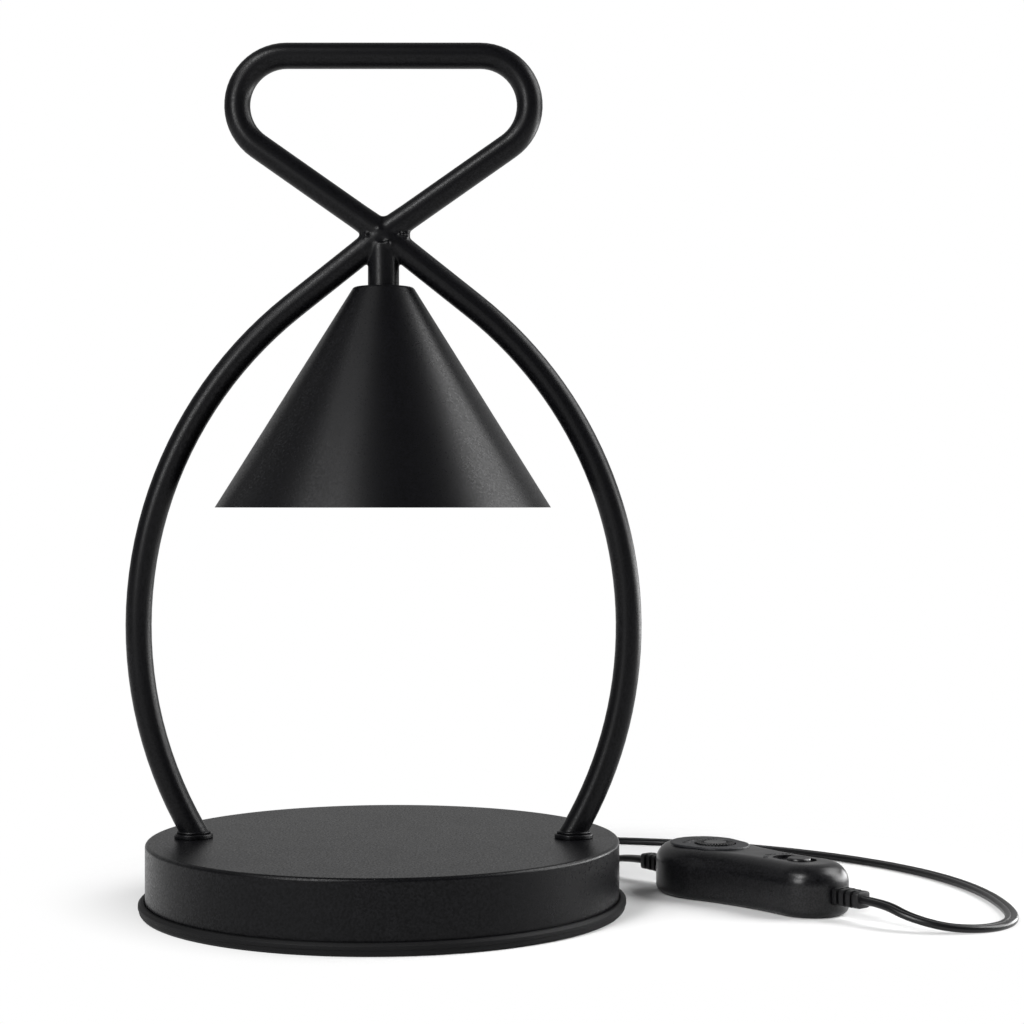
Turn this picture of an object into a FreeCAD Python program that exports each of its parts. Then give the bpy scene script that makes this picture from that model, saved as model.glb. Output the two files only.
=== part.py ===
"""Candle warmer lamp: a bent-tube frame on a weighted round base, a cone shade with a
twist-lock halogen lamp over the candle, and a flat cord with an in-line timer and dimmer.

Millimetres. The origin is the middle of the base where it stands on the table, +Z is up and
+X is to the right of someone facing the lamp, who looks along +Y. The frame's tubes lie in
the plane Y = 0.
"""
import FreeCAD, Part
import math
import operator
import os

import Sketcher
from FreeCAD import Placement, Rotation, Vector

os.makedirs("parts", exist_ok=True)
doc = FreeCAD.newDocument("candle_warmer_lamp")
dims = doc.addObject("Spreadsheet::Sheet", "dims")

SIZES = (
    # frame of bent tube
    ("tube_od", 10.8, "frame tube, outside diameter"),
    ("tube_wall", 1.2, "frame tube, wall"),
    ("handle_bend_radius", 20.7, "handle bends, at the middle of the tube"),
    ("handle_bend_x", 40.2, "centre of each handle bend from the lamp's axis"),
    ("node_height", 280.2, "where the tubes cross, above the table"),
    ("handle_rise", 74.2, "middle of the handle's top bar above the crossing"),
    ("node_bend_radius", 330.0, "slight bend where a leg becomes the handle"),
    ("leg_slope", 38.45, "legs at the crossing, degrees below level"),
    ("foot_spread", 79.2, "middle of a foot from the axis"),
    ("leg_bulge", 22.9, "widest point of a leg beyond its foot"),
    ("collar_diameter", 16.0, "foot collar, outside diameter"),
    ("collar_thickness", 2.7, "foot collar, thickness"),
    ("collar_chamfer", 0.7, "foot collar, edge"),
    ("stud_diameter", 8.0, "threaded stud under a foot collar"),
    ("stud_bore", 6.0, "wire way through a stud"),
    ("stud_length", 10.4, "stud below the base's top face"),
    ("weld_top_radius", 2.3, "hollow of the weld in the handle's lower corner"),
    ("weld_side_radius", 1.45, "hollow of the welds in the other corners"),
    ("weld_half_width", 3.4, "welds to each side of the frame's plane"),
    # weighted base
    ("base_top", 28.8, "top of the base above the table"),
    ("pan_diameter", 196.3, "base housing, outside diameter"),
    ("pan_sheet", 1.2, "base housing, sheet"),
    ("pan_edge_radius", 1.5, "base housing, top edge"),
    ("pan_bottom", 4.0, "lower edge of the base housing above the table"),
    ("ring_overhang", 2.85, "edge ring beyond the base housing, on the radius"),
    ("ring_height", 5.2, "edge ring, height"),
    ("ring_web", 0.8, "web of the edge ring under the base housing"),
    ("ring_web_width", 3.2, "web of the edge ring inside its skirt"),
    ("ring_bevel", 1.0, "edge ring, lower outer edge"),
    ("ring_gap", 0.3, "edge ring to base housing and to bottom plate"),
    ("plate_sheet", 1.2, "bottom plate, sheet"),
    ("ballast_diameter", 168.0, "ballast plate, diameter"),
    ("ballast_thickness", 6.0, "ballast plate, thickness"),
    ("pillar_circle", 55.0, "base pillars from the axis"),
    ("pillar_flats", 8.0, "base pillars across their flats"),
    ("base_screw_diameter", 4.0, "base screws, shank"),
    ("base_screw_head", 7.6, "base screws, head diameter"),
    ("base_screw_head_height", 1.7, "base screws, head height"),
    ("base_screw_grip", 5.0, "base screws, length inside a pillar"),
    ("hole_clearance", 0.2, "holes beyond the pieces they take, on the radius"),
    ("foot_nut_flats", 13.0, "foot nuts across their flats"),
    ("foot_nut_height", 6.0, "foot nuts, height"),
    ("foot_washer_diameter", 16.0, "foot washers, diameter"),
    ("foot_washer_thickness", 1.2, "foot washers, thickness"),
    # cord entry and wiring in the base
    ("cord_exit_height", 14.2, "cord where it leaves the base, above the table"),
    ("bushing_neck", 8.6, "cord bushing, diameter in the base's wall"),
    ("bushing_flange", 11.5, "cord bushing, flanges"),
    ("bushing_flange_thickness", 1.5, "cord bushing, each flange"),
    ("bushing_length", 21.0, "cord bushing outside the base"),
    ("bushing_tip", 7.2, "cord bushing, diameter at its tip"),
    ("block_length", 20.0, "terminal block along X"),
    ("block_depth", 14.0, "terminal block along Y"),
    ("block_height", 12.0, "terminal block, height"),
    ("block_place", 66.0, "terminal block's middle behind the axis"),
    ("block_screw_diameter", 3.4, "terminal screws"),
    ("block_screw_depth", 4.0, "terminal screws below the block's top"),
    ("block_pitch_x", 9.0, "terminal screws apart along X"),
    ("block_pitch_y", 6.5, "terminal screws apart along Y"),
    ("lead_diameter", 4.0, "sleeved lead from the base to the lamp holder"),
    ("lead_bend", 12.0, "bends of the lead"),
    ("lead_foot_bend", 6.0, "bend of the lead where it turns up into the left foot"),
    ("lead_above_ballast", 0.4, "lead above the ballast plate"),
    ("lead_node_bend", 3.2, "bend of the lead where it turns down into the stem"),
    # stem and shade
    ("stem_od", 13.0, "stem tube, outside diameter"),
    ("stem_wall", 1.5, "stem tube, wall"),
    ("stem_top_drop", 4.7, "top of the stem below the crossing"),
    ("shade_drop", 22.2, "top of the shade below the crossing"),
    ("shade_height", 91.6, "shade, top to rim"),
    ("shade_cap_diameter", 25.0, "shade, top of the cone"),
    ("shade_rim_diameter", 139.5, "shade, rim"),
    ("shade_wall", 1.0, "shade, sheet"),
    ("shade_cap_radius", 1.6, "shade, rounded shoulder"),
    ("nipple_diameter", 9.8, "threaded nipple through the shade"),
    ("nipple_bore", 7.0, "wire way through the nipple"),
    ("nipple_above", 12.0, "nipple above the shade's top"),
    ("nipple_below_nut", 1.0, "nipple past its nut"),
    ("shade_washer_diameter", 18.0, "lock washer under the shade's top"),
    ("shade_washer_thickness", 1.0, "lock washer"),
    ("shade_nut_flats", 14.0, "nipple nut across its flats"),
    ("shade_nut_height", 4.0, "nipple nut"),
    ("bracket_sheet", 1.0, "holder bracket, strip"),
    ("bracket_width", 12.0, "holder bracket along Y"),
    ("bracket_half_span", 10.0, "holder bracket, outside of each leg from the axis"),
    ("bracket_foot", 4.6, "holder bracket, each foot beyond its leg"),
    ("bracket_drop", 7.8, "holder bracket, top of the strip above its feet"),
    # lamp holder and twist-lock halogen lamp
    ("holder_diameter", 30.0, "lamp holder"),
    ("holder_cap_height", 5.0, "lamp holder, cover"),
    ("holder_height", 14.0, "lamp holder, body below its cover"),
    ("holder_floor", 2.2, "lamp holder, slotted floor"),
    ("holder_cavity", 19.0, "lamp holder, cavity diameter"),
    ("holder_divider", 2.0, "wall between the two contacts"),
    ("holder_screw_diameter", 2.6, "holder screws, shank"),
    ("holder_screw_head", 4.4, "holder screws, head diameter"),
    ("holder_screw_head_height", 1.6, "holder screws, head height"),
    ("holder_screw_length", 12.0, "holder screws below their heads"),
    ("holder_screw_place", 12.4, "holder screws from the axis"),
    ("contact_sheet", 0.6, "contact springs, strip"),
    ("contact_width", 4.0, "contact springs along Y"),
    ("contact_reach", 3.6, "contact springs, length over a pin"),
    ("pin_pitch", 10.0, "lamp pins apart"),
    ("pin_diameter", 3.0, "lamp pins, shank"),
    ("pin_head_diameter", 5.0, "lamp pins, head"),
    ("pin_head_height", 2.3, "lamp pins, head height"),
    ("pin_clearance", 0.3, "lamp pins and lamp base to the holder"),
    ("lock_angle", 30.0, "turn that locks the lamp, degrees"),
    ("lamp_base_diameter", 21.6, "ceramic base of the lamp"),
    ("lamp_base_height", 12.0, "ceramic base of the lamp"),
    ("lamp_diameter", 50.0, "front of the lamp"),
    ("lamp_neck_height", 4.6, "straight neck of the reflector"),
    ("reflector_height", 30.7, "reflector, neck to rim"),
    ("reflector_rim", 2.6, "straight rim of the reflector"),
    ("reflector_wall", 1.4, "reflector glass"),
    ("reflector_bow", 30.0, "curve of the reflector's outside"),
    ("front_glass_thickness", 2.4, "front glass"),
    ("front_glass_edge", 0.9, "rounded edge of the front glass"),
    ("capsule_diameter", 9.6, "halogen capsule"),
    ("capsule_length", 13.0, "halogen capsule below its seal"),
    ("capsule_seal_diameter", 6.0, "pinched seal of the capsule"),
    ("capsule_seal_length", 6.7, "pinched seal of the capsule"),
    ("capsule_wall", 0.8, "halogen capsule, glass"),
    ("filament_width", 4.4, "filament between its wires"),
    ("filament_drop", 6.0, "filament below the seal"),
    ("filament_diameter", 1.0, "filament coil"),
    ("filament_wire", 0.5, "filament wires"),
    # in-line timer and dimmer, in its own axes: +Y towards its wide end, base on Z = 0
    ("dimmer_x", 154.0, "middle of the dimmer to the right of the axis"),
    ("dimmer_y", 14.0, "middle of the dimmer behind the axis"),
    ("dimmer_turn", 40.0, "turn of the dimmer on the table, degrees"),
    ("case_length", 100.0, "dimmer case"),
    ("case_width", 42.0, "dimmer case at its widest"),
    ("case_height", 21.0, "dimmer case"),
    ("case_split", 9.0, "parting line above the table"),
    ("case_nose_radius", 15.0, "wide end, tip"),
    ("case_widest", 27.0, "widest place from the wide end"),
    ("case_tail_radius", 16.1, "narrow end"),
    ("case_waist_radius", 133.0, "hollow of the waist"),
    ("case_wall", 2.2, "dimmer case, side walls"),
    ("case_roof", 5.0, "dimmer case, roof"),
    ("case_floor", 2.0, "dimmer case, floor"),
    ("case_top_round", 8.0, "dimmer case, rounding of the top"),
    ("case_bottom_round", 3.0, "dimmer case, rounding below"),
    ("face_rise", 0.8, "face plate above the case"),
    ("face_radius", 15.0, "face plate, wide end"),
    ("face_start", 8.5, "face plate from the case's wide end"),
    ("face_end", 45.0, "face plate's far end from the case's wide end"),
    ("face_end_radius", 13.2, "face plate, narrow end"),
    ("face_round", 0.5, "face plate, edge"),
    ("dial_place", 29.8, "dial from the case's wide end"),
    ("dial_diameter", 16.6, "timer dial"),
    ("dial_thickness", 2.8, "timer dial"),
    ("dial_rise", 0.6, "timer dial above the face plate"),
    ("dial_gap", 0.7, "timer dial to its well, on the radius"),
    ("dial_under", 0.3, "timer dial above the floor of its well"),
    ("dial_boss_diameter", 9.6, "smooth middle of the dial"),
    ("dial_rib_count", 36, "ribs around the dial"),
    ("dial_rib_gap", 0.7, "grooves between the dial's ribs"),
    ("dial_rib_depth", 0.6, "grooves between the dial's ribs"),
    ("dial_click", 23.2, "turn of the dial from one time to the next, degrees"),
    ("dial_first", -35.5, "first place of the dial from the case's middle line, degrees"),
    ("spindle_diameter", 3.8, "spindle of the dial"),
    ("spindle_length", 10.3, "spindle below the dial"),
    ("spindle_clearance", 0.3, "spindle in its holes, on the radius"),
    ("switch_side", 13.0, "rotary switch, width and depth"),
    ("switch_height", 6.2, "rotary switch"),
    ("button_place", 78.2, "button from the case's wide end"),
    ("button_diameter", 9.6, "dimmer button"),
    ("button_rise", 1.0, "dimmer button above the case"),
    ("button_travel", 1.0, "travel of the button"),
    ("button_gap", 0.3, "button in its hole, on the radius and under the roof"),
    ("button_flange", 11.8, "flange of the button under the roof"),
    ("button_flange_thickness", 1.0, "flange of the button"),
    ("button_stem_diameter", 3.0, "stem of the button"),
    ("button_stem_length", 5.0, "stem below the button's flange"),
    ("recess_width", 12.0, "recess around the button"),
    ("recess_start", 65.6, "recess from the case's wide end"),
    ("recess_length", 20.5, "recess around the button"),
    ("recess_depth", 1.2, "recess around the button"),
    ("push_switch_side", 8.0, "push switch, width and depth"),
    ("push_switch_well", 5.2, "well of the push switch for the stem"),
    ("timer_light_circle", 11.2, "timer lights from the dial's middle"),
    ("dimmer_light_circle", 10.7, "dimmer lights from the button's middle"),
    ("dimmer_light_pitch", 25.5, "dimmer lights apart, degrees around the button"),
    ("light_diameter", 1.2, "light pipes"),
    ("light_clearance", 0.1, "light pipes in their holes, on the radius"),
    ("led_height", 0.6, "light-emitting diodes on the board"),
    ("led_side", 1.6, "light-emitting diodes on the board"),
    ("board_width", 25.6, "circuit board"),
    ("board_front", -33.0, "circuit board, end near the narrow end"),
    ("board_back", 30.6, "circuit board, end near the wide end"),
    ("board_tongue", 1.8, "tongue of the circuit board past its end"),
    ("board_tongue_width", 9.0, "tongue of the circuit board"),
    ("board_thickness", 1.6, "circuit board"),
    ("board_above_floor", 3.0, "pegs under the circuit board"),
    ("peg_diameter", 4.0, "pegs under the circuit board"),
    ("peg_x", 10.0, "pegs from the middle"),
    ("peg_inset", 5.0, "pegs from the board's ends"),
    ("boss_diameter", 6.0, "screw bosses of the case"),
    ("boss_nose_x", 8.2, "screw bosses near the wide end, from the middle"),
    ("boss_nose_y", 34.0, "screw bosses near the wide end"),
    ("boss_tail_x", 8.2, "screw bosses near the narrow end, from the middle"),
    ("boss_tail_y", -38.0, "screw bosses near the narrow end"),
    ("case_screw_diameter", 2.4, "case screws, shank"),
    ("case_screw_head", 4.6, "case screws, head diameter"),
    ("case_screw_head_height", 1.8, "case screws, head height"),
    ("case_screw_sunk", 2.6, "case screws, depth of their head holes"),
    ("case_screw_bite", 5.0, "case screws, length in the top shell"),
    ("relief_width", 9.0, "strain reliefs of the dimmer"),
    ("relief_height", 7.0, "strain reliefs of the dimmer"),
    ("relief_length", 13.0, "strain reliefs outside the case"),
    ("relief_tip_width", 7.4, "strain reliefs, width at the tip"),
    ("relief_neck_width", 6.8, "strain reliefs in the case's wall"),
    ("relief_neck_height", 5.0, "strain reliefs in the case's wall"),
    ("relief_flange", 1.5, "strain reliefs, flange inside the case"),
    ("relief_groove", 1.4, "cross grooves of the strain reliefs"),
    ("relief_groove_depth", 1.5, "cross grooves of the strain reliefs"),
    ("relief_groove_pitch", 3.4, "cross grooves apart"),
    ("relief_first_groove", 2.2, "first cross groove from the case"),
    ("capacitor_length", 13.0, "film capacitor"),
    ("capacitor_width", 6.0, "film capacitor"),
    ("capacitor_height", 8.4, "film capacitor"),
    ("capacitor_y", 4.0, "film capacitor on the board"),
    ("triac_length", 10.0, "triac"),
    ("triac_width", 4.5, "triac"),
    ("triac_height", 8.0, "triac"),
    ("triac_y", -14.0, "triac on the board"),
    ("fuse_diameter", 5.0, "fuse"),
    ("fuse_length", 12.0, "fuse"),
    ("fuse_y", -5.0, "fuse on the board"),
    # flat twin cord and plug
    ("cord_width", 5.6, "flat twin cord, width"),
    ("cord_thickness", 2.9, "flat twin cord, thickness"),
    ("coil_x", -62.0, "middle of the put-away coil"),
    ("coil_y", 131.0, "middle of the put-away coil"),
    ("coil_mean_radius", 31.0, "middle of the coil's turns"),
    ("coil_turns_beside", 3, "turns side by side"),
    ("coil_turns_stacked", 2, "layers of turns"),
    ("coil_slack", 0.2, "coil beyond its turns, all round"),
    ("tie_thickness", 0.7, "tie around the coil"),
    ("tie_width", 6.0, "tie along the cord"),
    ("tie_gap", 0.3, "tie to the coil"),
    ("tie_turn", 270.0, "place of the tie around the coil, degrees"),
    ("plug_x", -5.0, "blade face of the plug"),
    ("plug_y", 187.0, "middle of the plug behind the axis"),
    ("plug_width", 24.0, "plug, at its blades"),
    ("plug_height", 13.0, "plug, at its blades"),
    ("plug_length", 24.0, "plug body"),
    ("plug_back_width", 13.0, "plug, at its strain relief"),
    ("plug_back_height", 10.0, "plug, at its strain relief"),
    ("plug_round", 2.5, "plug, edges"),
    ("plug_relief_length", 22.0, "strain relief of the plug"),
    ("plug_relief_width", 9.0, "strain relief of the plug, at the body"),
    ("plug_relief_height", 7.4, "strain relief of the plug, at the body"),
    ("plug_relief_tip_width", 7.0, "strain relief of the plug, at the cord"),
    ("plug_relief_tip_height", 4.6, "strain relief of the plug, at the cord"),
    ("plug_relief_drop", 2.2, "strain relief's tip below the plug's middle"),
    ("blade_pitch", 12.7, "plug blades apart"),
    ("blade_thickness", 1.5, "plug blades"),
    ("blade_length", 17.0, "plug blades outside the plug"),
    ("blade_narrow", 6.4, "narrow blade"),
    ("blade_wide", 7.9, "wide blade of a polarised plug"),
    ("blade_hole", 3.2, "hole through each blade"),
    ("blade_hole_place", 11.7, "hole from the plug's face"),
    ("blade_seat", 3.0, "plug blades inside the plug"),
)

for row, (alias, number, meaning) in enumerate(SIZES, start=1):
    dims.set(f"A{row}", meaning)
    dims.set(f"B{row}", str(number))
    dims.setAlias(f"B{row}", alias)
doc.recompute()


class Size:
    """A size worked out from the sheet: its value now, and the expression that keeps it so."""

    def __init__(self, value, text):
        self.value = value
        self.text = text

    def __add__(self, other):
        return combine(operator.add, self, "+", other)

    def __radd__(self, other):
        return combine(operator.add, other, "+", self)

    def __sub__(self, other):
        return combine(operator.sub, self, "-", other)

    def __rsub__(self, other):
        return combine(operator.sub, other, "-", self)

    def __mul__(self, other):
        return combine(operator.mul, self, "*", other)

    def __rmul__(self, other):
        return combine(operator.mul, other, "*", self)

    def __truediv__(self, other):
        return combine(operator.truediv, self, "/", other)

    def __neg__(self):
        return combine(operator.mul, -1, "*", self)


def as_size(number):
    """A plain number as a Size."""
    return number if isinstance(number, Size) else Size(float(number), f"({float(number)})")


def combine(work, left, sign, right):
    left, right = as_size(left), as_size(right)
    return Size(work(left.value, right.value), f"({left.text} {sign} {right.text})")


def root(size):
    return Size(math.sqrt(size.value), f"sqrt({size.text})")


def sine(degrees):
    degrees = as_size(degrees)
    return Size(math.sin(math.radians(degrees.value)), f"sin({degrees.text})")


def cosine(degrees):
    degrees = as_size(degrees)
    return Size(math.cos(math.radians(degrees.value)), f"cos({degrees.text})")


class Sheet:
    """The spreadsheet's cells as Sizes, by their aliases."""

    def __getattr__(self, alias):
        return Size(float(getattr(dims, alias)), f"dims.{alias}")


d = Sheet()
pieces = []


# ---- ways of working -------------------------------------------------------------------

def bind(thing, path, size):
    thing.setExpression(path, as_size(size).text)


def new_body(label):
    body = doc.addObject("PartDesign::Body", label)
    body.Label = label
    pieces.append(body)
    return body


def new_sketch(body, role="XY_Plane", lift=0, across=0):
    """A sketch on one of the body's own planes, raised by lift and moved along its X by across."""
    plane = next(f for f in body.Origin.OriginFeatures if f.Role == role)
    sketch = body.newObject("Sketcher::SketchObject", f"{body.Name}_sketch")
    sketch.AttachmentSupport = [(plane, "")]
    sketch.MapMode = "FlatFace"
    bind(sketch, "AttachmentOffset.Base.z", lift)
    bind(sketch, "AttachmentOffset.Base.x", across)
    return sketch


def rule(sketch, size, kind, *where):
    """A constraint whose value follows the sheet."""
    size = as_size(size)
    index = sketch.addConstraint(Sketcher.Constraint(kind, *where, size.value))
    sketch.setExpression(f"Constraints[{index}]", size.text)


def pin(sketch, line, end, x, y):
    rule(sketch, x, "DistanceX", -1, 1, line, end)
    rule(sketch, y, "DistanceY", -1, 1, line, end)


def spot(x, y):
    return Vector(as_size(x).value, as_size(y).value, 0)


def circle(x, y, radius):
    """Draws a circle."""
    def draw(sketch):
        line = sketch.addGeometry(
            Part.Circle(spot(x, y), Vector(0, 0, 1), as_size(radius).value), False
        )
        rule(sketch, radius, "Radius", line)
        pin(sketch, line, 3, x, y)
    return draw


def sides(corners, bows=None):
    """Draws a closed outline. bows gives the radius of the sides that are arcs, by the number
    of the corner they start at: above zero they bow to the left of the way round."""
    bows = bows or {}

    def draw(sketch):
        first = sketch.GeometryCount
        spots = [spot(x, y) for x, y in corners]
        count = len(spots)
        starts = []
        for n, here in enumerate(spots):
            there = spots[(n + 1) % count]
            if n not in bows:
                sketch.addGeometry(Part.LineSegment(here, there), False)
                starts.append((1, 2))
                continue
            radius = as_size(bows[n]).value
            half = (there - here) * 0.5
            depth = abs(radius) - math.sqrt(max(0.0, radius * radius - half.Length ** 2))
            left = Vector(-half.y, half.x, 0).normalize()
            middle = here + half + left * math.copysign(depth, radius)
            sketch.addGeometry(Part.Arc(here, middle, there), False)
            starts.append((2, 1) if radius > 0 else (1, 2))
        for n, (x, y) in enumerate(corners):
            before = (n - 1) % count
            sketch.addConstraint(Sketcher.Constraint(
                "Coincident", first + n, starts[n][0], first + before, starts[before][1]
            ))
            pin(sketch, first + n, starts[n][0], x, y)
        for n, radius in bows.items():
            radius = as_size(radius)
            rule(sketch, radius if radius.value > 0 else -radius, "Radius", first + n)
    return draw


def rectangle(left, right, front, back):
    return sides([(left, front), (right, front), (right, back), (left, back)])


def hexagon(x, y, flats):
    corner = flats / math.sqrt(3.0)
    turns = [math.radians(60 * n) for n in range(6)]
    return sides([(x + corner * math.cos(a), y + corner * math.sin(a)) for a in turns])


def settle(feature):
    """Works the document out and stops at a feature that failed."""
    doc.recompute()
    if "Invalid" in feature.State or "Error" in feature.State or not feature.isValid():
        raise RuntimeError(f"{feature.Name} failed: {feature.State}")
    return feature


def add(body, bottom, top, *shapes, role="XY_Plane"):
    """Adds the shapes as upright solids from bottom to top."""
    sketch = new_sketch(body, role, bottom)
    for draw in shapes:
        draw(sketch)
    feature = body.newObject("PartDesign::Pad", f"{body.Name}_pad")
    feature.Profile = sketch
    bind(feature, "Length", top - bottom)
    return settle(feature)


def cut(body, bottom, top, *shapes, role="XY_Plane"):
    """Cuts the shapes out of the body from bottom to top."""
    sketch = new_sketch(body, role, top)
    for draw in shapes:
        draw(sketch)
    before = body.Shape.Volume
    feature = body.newObject("PartDesign::Pocket", f"{body.Name}_pocket")
    feature.Profile = sketch
    bind(feature, "Length", top - bottom)
    settle(feature)
    if body.Shape.Volume > before - 1e-6:
        raise RuntimeError(f"{feature.Name} cuts nothing")
    return feature


def turn(body, *shapes, across=0):
    """Adds what the shapes sweep, turned once about the upright line at X = across."""
    sketch = new_sketch(body, "XZ_Plane", 0, across)
    for draw in shapes:
        draw(sketch)
    feature = body.newObject("PartDesign::Revolution", f"{body.Name}_turned")
    feature.Profile = sketch
    feature.ReferenceAxis = (sketch, ["V_Axis"])
    feature.Angle = 360
    return settle(feature)


def soften(body, kind, size, chosen):
    """Rounds or bevels the edges that chosen picks."""
    base = body.Tip
    names = [f"Edge{n}" for n, edge in enumerate(base.Shape.Edges, 1) if chosen(edge)]
    feature = body.newObject(f"PartDesign::{kind}", f"{body.Name}_{kind.lower()}")
    feature.Base = (base, names)
    bind(feature, "Radius" if kind == "Fillet" else "Size", size)
    return settle(feature)


def level(edge, z):
    """Whether an edge lies flat at a height."""
    box = edge.BoundBox
    return abs(box.ZMin - as_size(z).value) < 0.01 and abs(box.ZMax - as_size(z).value) < 0.01


def reach_of(edge):
    """How far an edge goes from the axis along X."""
    return max(abs(edge.BoundBox.XMin), abs(edge.BoundBox.XMax))


def shaped(label, shape, placement=None):
    """A sub-part whose shape is worked out here, because no feature makes it."""
    feature = doc.addObject("Part::Feature", label)
    feature.Label = label
    feature.Shape = shape
    feature.Placement = placement or Placement()
    pieces.append(feature)
    return feature


# ---- weighted base ---------------------------------------------------------------------

pan_radius = d.pan_diameter / 2
pan_inside = pan_radius - d.pan_sheet
pan_ceiling = d.base_top - d.pan_sheet
plate_top = d.pan_bottom - d.ring_web
plate_bottom = plate_top - d.plate_sheet
ballast_top = plate_top + d.ballast_thickness
skirt_inside = pan_inside + d.ring_gap
foot_hole = d.stud_diameter / 2 + d.hole_clearance
base_screw_hole = d.base_screw_diameter / 2 + d.hole_clearance
pillar_spots = [
    (d.pillar_circle * math.cos(math.radians(a)), d.pillar_circle * math.sin(math.radians(a)))
    for a in (30, 150, 270)
]

# Drawn steel pan, open below.
housing = new_body("base_housing")
turn(housing, sides([
    (0, pan_ceiling), (pan_inside, pan_ceiling), (pan_inside, d.pan_bottom),
    (pan_radius, d.pan_bottom), (pan_radius, d.base_top), (0, d.base_top),
]))
soften(housing, "Fillet", d.pan_edge_radius, lambda edge: level(edge, d.base_top))
cut(housing, pan_ceiling, d.base_top,
    circle(d.foot_spread, 0, foot_hole), circle(-d.foot_spread, 0, foot_hole))
cut(housing, -pan_radius, d.bushing_flange_thickness - pan_inside,
    circle(0, d.cord_exit_height, d.bushing_neck / 2), role="XZ_Plane")

# Soft ring: its web is clamped under the pan's lower edge, its skirt stands on the table.
ring = new_body("base_edge_ring")
ring_radius = pan_radius + d.ring_overhang
turn(ring, sides([
    (skirt_inside - d.ring_web_width, plate_top), (skirt_inside, plate_top), (skirt_inside, 0),
    (ring_radius - d.ring_bevel, 0), (ring_radius, d.ring_bevel),
    (ring_radius, d.ring_height - d.ring_web), (ring_radius - d.ring_web, d.ring_height),
    (pan_radius + d.ring_gap, d.ring_height), (pan_radius + d.ring_gap, d.pan_bottom),
    (skirt_inside - d.ring_web_width, d.pan_bottom),
]))

plate = new_body("bottom_plate")
add(plate, plate_bottom, plate_top, circle(0, 0, pan_inside))
cut(plate, plate_bottom, plate_top, *(circle(x, y, base_screw_hole) for x, y in pillar_spots))

ballast = new_body("ballast_plate")
add(ballast, plate_top, ballast_top, circle(0, 0, d.ballast_diameter / 2))
cut(ballast, plate_top, ballast_top, *(circle(x, y, base_screw_hole) for x, y in pillar_spots))

# Three hexagon pillars welded under the pan, tapped from below.
pillars = new_body("base_pillars")
add(pillars, ballast_top, pan_ceiling, *(hexagon(x, y, d.pillar_flats) for x, y in pillar_spots))
cut(pillars, ballast_top, ballast_top + d.base_screw_grip,
    *(circle(x, y, d.base_screw_diameter / 2) for x, y in pillar_spots))

screws = new_body("base_screws")
add(screws, plate_bottom - d.base_screw_head_height, plate_bottom,
    *(circle(x, y, d.base_screw_head / 2) for x, y in pillar_spots))
add(screws, plate_bottom, ballast_top + d.base_screw_grip,
    *(circle(x, y, d.base_screw_diameter / 2) for x, y in pillar_spots))

block = new_body("terminal_block")
block_top = ballast_top + d.block_height
block_front = d.block_place - d.block_depth / 2
block_back = d.block_place + d.block_depth / 2
block_spots = [
    (d.block_pitch_x / 2 * sx, d.block_place + d.block_pitch_y / 2 * sy)
    for sx in (-1, 1) for sy in (-1, 1)
]
add(block, ballast_top, block_top,
    rectangle(-d.block_length / 2, d.block_length / 2, block_front, block_back))
cut(block, block_top - d.block_screw_depth, block_top,
    *(circle(x, y, d.block_screw_diameter / 2 + d.hole_clearance) for x, y in block_spots))

block_screws = new_body("terminal_screws")
add(block_screws, block_top - d.block_screw_depth, block_top - d.hole_clearance,
    *(circle(x, y, d.block_screw_diameter / 2) for x, y in block_spots))

# Over-moulded bushing in the back of the pan; the cord is held inside it.
bushing = new_body("cord_bushing")
bushing_inner = pan_inside - d.ring_gap - d.bushing_flange_thickness
bushing_tip_y = pan_radius + d.bushing_length
turn(bushing, sides([
    (0, bushing_inner), (d.bushing_flange / 2, bushing_inner),
    (d.bushing_flange / 2, pan_inside - d.ring_gap), (d.bushing_neck / 2, pan_inside - d.ring_gap),
    (d.bushing_neck / 2, pan_radius), (d.bushing_flange / 2, pan_radius),
    (d.bushing_flange / 2, pan_radius + d.bushing_flange_thickness),
    (d.bushing_neck / 2, pan_radius + d.bushing_flange_thickness),
    (d.bushing_tip / 2, bushing_tip_y), (0, bushing_tip_y),
]))
bushing.Placement = Placement(Vector(), Rotation(Vector(1, 0, 0), -90))
bind(bushing, "Placement.Base.z", d.cord_exit_height)

cord_half_width = d.cord_width / 2
cord_half_thickness = d.cord_thickness / 2
tail = new_body("cord_tail")
add(tail, d.cord_exit_height - cord_half_thickness, d.cord_exit_height + cord_half_thickness,
    rectangle(-cord_half_width, cord_half_width, block_back, bushing_inner))


# ---- frame of bent tube ----------------------------------------------------------------

collar_top = d.base_top + d.collar_thickness
handle_top = d.node_height + d.handle_rise
handle_centre = handle_top - d.handle_bend_radius
shade_top = d.node_height - d.shade_drop
tube_radius = d.tube_od / 2
tube_bore = tube_radius - d.tube_wall
foot_extra = d.tube_od
leg_spread = d.foot_spread + d.leg_bulge


def leg_bend():
    """Centre and radius of the right leg's bend: it leaves the straight from the crossing
    smoothly, is widest at leg_spread and comes down on the foot."""
    slope = math.radians(d.leg_slope.value)
    grow = (1 - math.sin(slope)) / math.cos(slope)
    drop = (collar_top - d.node_height).value + leg_spread.value * math.tan(slope)
    inward = (d.foot_spread - leg_spread).value
    half = drop * grow + inward
    radius = (-half - math.sqrt(half ** 2 - grow ** 2 * (drop ** 2 + inward ** 2))) / grow ** 2
    return leg_spread.value - radius, collar_top.value - drop - grow * radius, radius


def handle_slope():
    """Slope of the straights from the crossing up to the handle's bends, in radians."""
    rise = (handle_centre - d.node_height).value
    away = d.handle_bend_x.value
    return math.atan2(rise, away) - math.asin(d.handle_bend_radius.value / math.hypot(rise, away))


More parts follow.
